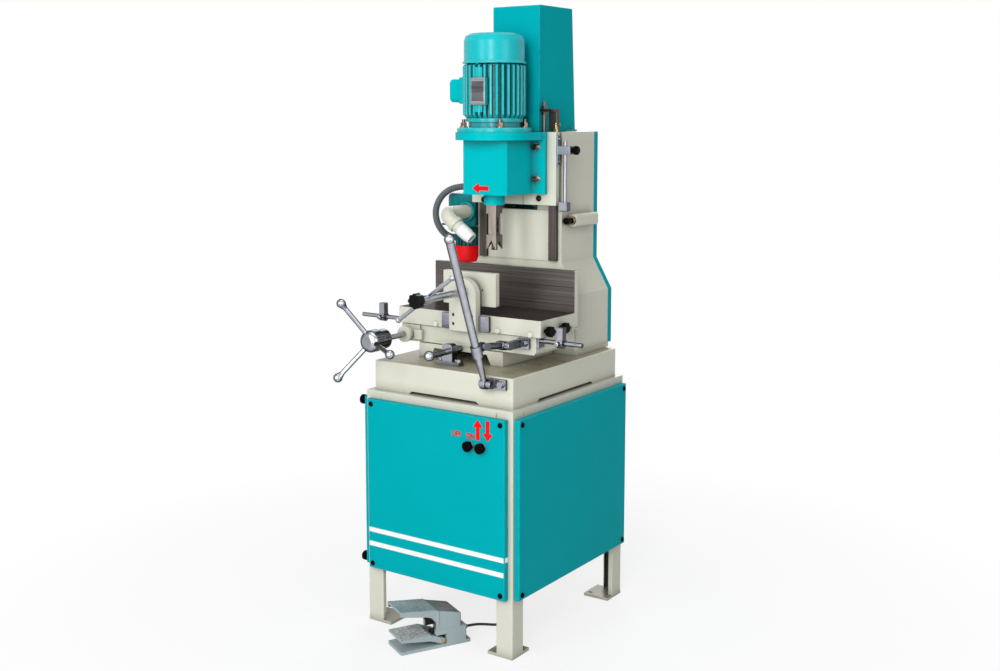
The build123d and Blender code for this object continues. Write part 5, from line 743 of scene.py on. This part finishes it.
def conduitRings(points, values):
    # each ring's place, its two directions and its radius
    total = sum((b - a).length for a, b in zip(points, points[1:]))
    step = values["pitch"] / values["ringsPerPitch"]
    radius = values["diameter"] / 2
    rings = []
    first = Vector((0, 0, 1))
    for index, (spot, forward) in enumerate(walkLine(points, step)):
        first = (first - forward * first.dot(forward)).normalized()
        gone = index * step
        inCuff = min(gone, total - gone) < values["cuff"]
        wave = 0.5 + 0.5 * math.cos(2 * math.pi * gone / values["pitch"])
        depth = values["cuffDepth"] if inCuff else 1 - wave ** values["ribWidth"]
        rings.append((spot, first.copy(), forward.cross(first), radius - values["groove"] * depth))
    return rings


def makeConduit(values):
    points = splinePoints(values["route"])
    count = values["sides"]
    angles = [2 * math.pi * k / count for k in range(count)]
    bm = bmesh.new()
    loops = []
    for spot, first, second, size in conduitRings(points, values):
        ring = [spot + (first * math.cos(angle) + second * math.sin(angle)) * size for angle in angles]
        loops.append([bm.verts.new(place) for place in ring])
    for low, high in zip(loops, loops[1:]):
        for k in range(count):
            bm.faces.new((low[k], low[(k + 1) % count], high[(k + 1) % count], high[k]))
    bm.faces.new(reversed(loops[0]))
    bm.faces.new(loops[-1])
    mesh = bpy.data.meshes.new("blowerConduit")
    bm.to_mesh(mesh)
    bm.free()
    for face in mesh.polygons:
        face.use_smooth = len(face.vertices) == 4
    conduit = bpy.data.objects.new("blowerConduit", mesh)
    bpy.context.collection.objects.link(conduit)
    mesh.materials.append(finishMaterial("conduit"))
    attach(conduit, "stand")
    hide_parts("blower_conduit")


makeLead(pedalLead)
makeConduit(blowerConduit)
print("cords laid")


# Small painted pieces
def meshPiece(name, vertices, faces, body, finish):
    mesh = bpy.data.meshes.new(name)
    mesh.from_pydata(vertices, [], faces)
    mesh.update()
    piece = bpy.data.objects.new(name, mesh)
    bpy.context.collection.objects.link(piece)
    mesh.materials.append(finishMaterial(finish))
    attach(piece, body)


def cuboid(name, spanX, spanY, spanZ, body, finish):
    vertices = [(x, y, z) for x in spanX for y in spanY for z in spanZ]
    faces = [(0, 1, 3, 2), (4, 6, 7, 5), (0, 4, 5, 1), (2, 3, 7, 6), (0, 2, 6, 4), (1, 5, 7, 3)]
    meshPiece(name, vertices, faces, body, finish)


# Plates that close the blower's mouth above and below its round outlet
outletCheeks = {"x": (-0.1922, -0.1518), "y": (0.1001, 0.1025), "heights": [(1.108, 1.1332), (1.0558, 1.078)]}
for index, height in enumerate(outletCheeks["heights"]):
    cuboid(f"outletCheek{index + 1}", outletCheeks["x"], outletCheeks["y"], height, "stand", "darkTeal")

# Stripes, arrows and lettering on the painted faces
filmThick = 0.0004
panelFace = -0.292


def frontFilm(name, outline, y, body, finish):
    # a thin film on a face that looks towards the operator
    count = len(outline)
    vertices = [(x, y, z) for x, z in outline] + [(x, y - filmThick, z) for x, z in outline]
    faces = [tuple(range(count, 2 * count)), tuple(reversed(range(count)))]
    for index in range(count):
        after = (index + 1) % count
        faces.append((index, after, count + after, count + index))
    meshPiece(name, vertices, faces, body, finish)


panelStripes = {
    "halfWidth": 0.2185,
    "bands": [(0.2547, 0.2674), (0.2162, 0.2291)],
    "edge": 0.221,                  # the upper stripe goes on round the panel's right edge
    "edgeDepths": (0.0028, 0.0145),
}
half = panelStripes["halfWidth"]
for index, (low, high) in enumerate(panelStripes["bands"]):
    outline = [(-half, low), (half, low), (half, high), (-half, high)]
    frontFilm(f"panelStripe{index + 1}", outline, panelFace, "stand", "white")
edgeSpan = (panelStripes["edge"], panelStripes["edge"] + filmThick)
edgeDepths = [panelFace + depth for depth in panelStripes["edgeDepths"]]
cuboid("panelStripeEdge", edgeSpan, edgeDepths, panelStripes["bands"][0], "stand", "white")


def arrowOutline(values):
    # points along +u, from the tail to the tip
    length, headHalf, shaftHalf = values["length"], values["headHalf"], values["shaftHalf"]
    neck = length - values["headLength"]
    return [(0, -shaftHalf), (neck, -shaftHalf), (neck, -headHalf), (length, 0),
            (neck, headHalf), (neck, shaftHalf), (0, shaftHalf)]


panelArrows = {"length": 0.0525, "headLength": 0.0198, "headHalf": 0.0153, "shaftHalf": 0.006,
               "low": 0.5575, "up": 0.1405, "down": 0.1704}
arrow = arrowOutline(panelArrows)
tail, tip = panelArrows["low"], panelArrows["low"] + panelArrows["length"]
frontFilm("arrowUp", [(panelArrows["up"] - v, tail + u) for u, v in arrow], panelFace, "stand", "red")
frontFilm("arrowDown", [(panelArrows["down"] + v, tip - u) for u, v in arrow], panelFace, "stand", "red")

headArrow = {"length": 0.053, "headLength": 0.022, "headHalf": 0.0144, "shaftHalf": 0.0059,
             "tail": 0.0199, "height": 1.1705, "face": -0.073}
outline = [(headArrow["tail"] - u, headArrow["height"] - v) for u, v in arrowOutline(headArrow)]
frontFilm("headArrow", outline, headArrow["face"], "head", "red")

switchWords = {
    "size": 0.0197, "bold": 0.0007, "narrow": 0.86, "height": 0.5582,
    "words": [("OFF", 0.0584), ("ON", 0.1042)],   # each word and its left end
}


def makeWord(text, left, values):
    curve = bpy.data.curves.new("word" + text, "FONT")
    curve.body = text
    curve.size = values["size"]
    curve.extrude = filmThick / 2
    curve.offset = values["bold"]
    word = bpy.data.objects.new("word" + text, curve)
    word.location = (left, panelFace - filmThick / 2, values["height"])
    word.rotation_euler = (math.radians(90), 0, 0)
    word.scale.x = values["narrow"]
    bpy.context.collection.objects.link(word)
    curve.materials.append(finishMaterial("deepRed"))
    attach(word, "stand")


for text, left in switchWords["words"]:
    makeWord(text, left, switchWords)
print("films and lettering placed")


# Studio: pale floor, white surround, soft lamps
studio = {
    "floorSize": 30.0,
    "floorNear": 0.6,      # the floor takes shadow up to here and fades to plain white
    "floorFar": 1.6,
    "floorShade": 0.22,
    "floorRough": 0.9,
    "floorColors": (0.95, 0.5),   # as it is seen, and as it throws light back
    "worldLight": 0.12,
    "lamps": [
        {"name": "keyLamp", "place": (-0.8, -3.9, 2.1), "aim": (0, 0, 1.5),
         "size": (1.2, 3.6), "power": 54},
        {"name": "frontLamp", "place": (1.5, -3.7, 2.1), "aim": (0, 0, 1.5),
         "size": (1.2, 3.6), "power": 112},
        {"name": "fillLamp", "place": (3.7, -0.9, 1.9), "aim": (0, 0, 1.2),
         "size": (1.6, 2.2), "power": 26},
        {"name": "topLamp", "place": (0.2, -0.2, 4.2), "aim": (0, 0, 0.8),
         "size": (2.4, 2.4), "power": 34},
        {"name": "backLamp", "place": (-1.5, 3.4, 2.4), "aim": (0, 0, 0.8),
         "size": (2.4, 2.4), "power": 60},
    ],
}


def seenRays(tree):
    path = tree.nodes.new("ShaderNodeLightPath").outputs
    seen = maths(tree, "MAXIMUM", path["Is Camera Ray"], path["Is Glossy Ray"])
    return maths(tree, "MAXIMUM", seen, path["Is Transmission Ray"])


def makeWorld(values):
    world = bpy.data.worlds.new("studioWorld")
    bpy.context.scene.world = world
    world.use_nodes = True
    tree = world.node_tree
    shade = tree.nodes["Background"]
    shade.inputs["Color"].default_value = (1, 1, 1, 1)
    strength = mixValue(tree, seenRays(tree), values["worldLight"], 1.0)
    tree.links.new(strength, shade.inputs["Strength"])


def makeFloor(values):
    half = values["floorSize"] / 2
    corners = [(-half, -half, 0), (half, -half, 0), (half, half, 0), (-half, half, 0)]
    mesh = bpy.data.meshes.new("floor")
    mesh.from_pydata(corners, [], [(0, 1, 2, 3)])
    floor = bpy.data.objects.new("floor", mesh)
    bpy.context.collection.objects.link(floor)
    material = bpy.data.materials.new("floor")
    material.use_nodes = True
    tree = material.node_tree
    shader = tree.nodes["Principled BSDF"]
    shader.inputs["Roughness"].default_value = values["floorRough"]
    seen = seenRays(tree)
    pale, dull = ((value, value, value, 1) for value in values["floorColors"])
    tree.links.new(mixColor(tree, seen, dull, pale), shader.inputs["Base Color"])
    glow = wire(tree, "ShaderNodeEmission", {"Color": (1, 1, 1, 1), "Strength": 1.0})
    away = vectorMaths(tree, "LENGTH", {0: objectPlace(tree)}, "Value")
    span = {"Value": away, "From Min": values["floorNear"], "From Max": values["floorFar"],
            "To Min": 1 - values["floorShade"], "To Max": 1.0}
    share = maths(tree, "MULTIPLY", seen, wire(tree, "ShaderNodeMapRange", span).outputs[0])
    mixed = wire(tree, "ShaderNodeMixShader", {0: share, 1: shader.outputs[0], 2: glow.outputs[0]})
    tree.links.new(mixed.outputs[0], tree.nodes["Material Output"].inputs["Surface"])
    mesh.materials.append(material)


def makeLamp(values):
    light = bpy.data.lights.new(values["name"], "AREA")
    light.energy = values["power"]
    light.shape = "RECTANGLE"
    light.size, light.size_y = values["size"]
    lamp = bpy.data.objects.new(values["name"], light)
    lamp.location = values["place"]
    aim = Vector(values["aim"]) - Vector(values["place"])
    lamp.rotation_euler = aim.to_track_quat("-Z", "Y").to_euler()
    bpy.context.collection.objects.link(lamp)


makeWorld(studio)
makeFloor(studio)
for lampValues in studio["lamps"]:
    makeLamp(lampValues)
bpy.context.scene.view_settings.view_transform = "Standard"
print("studio lit")
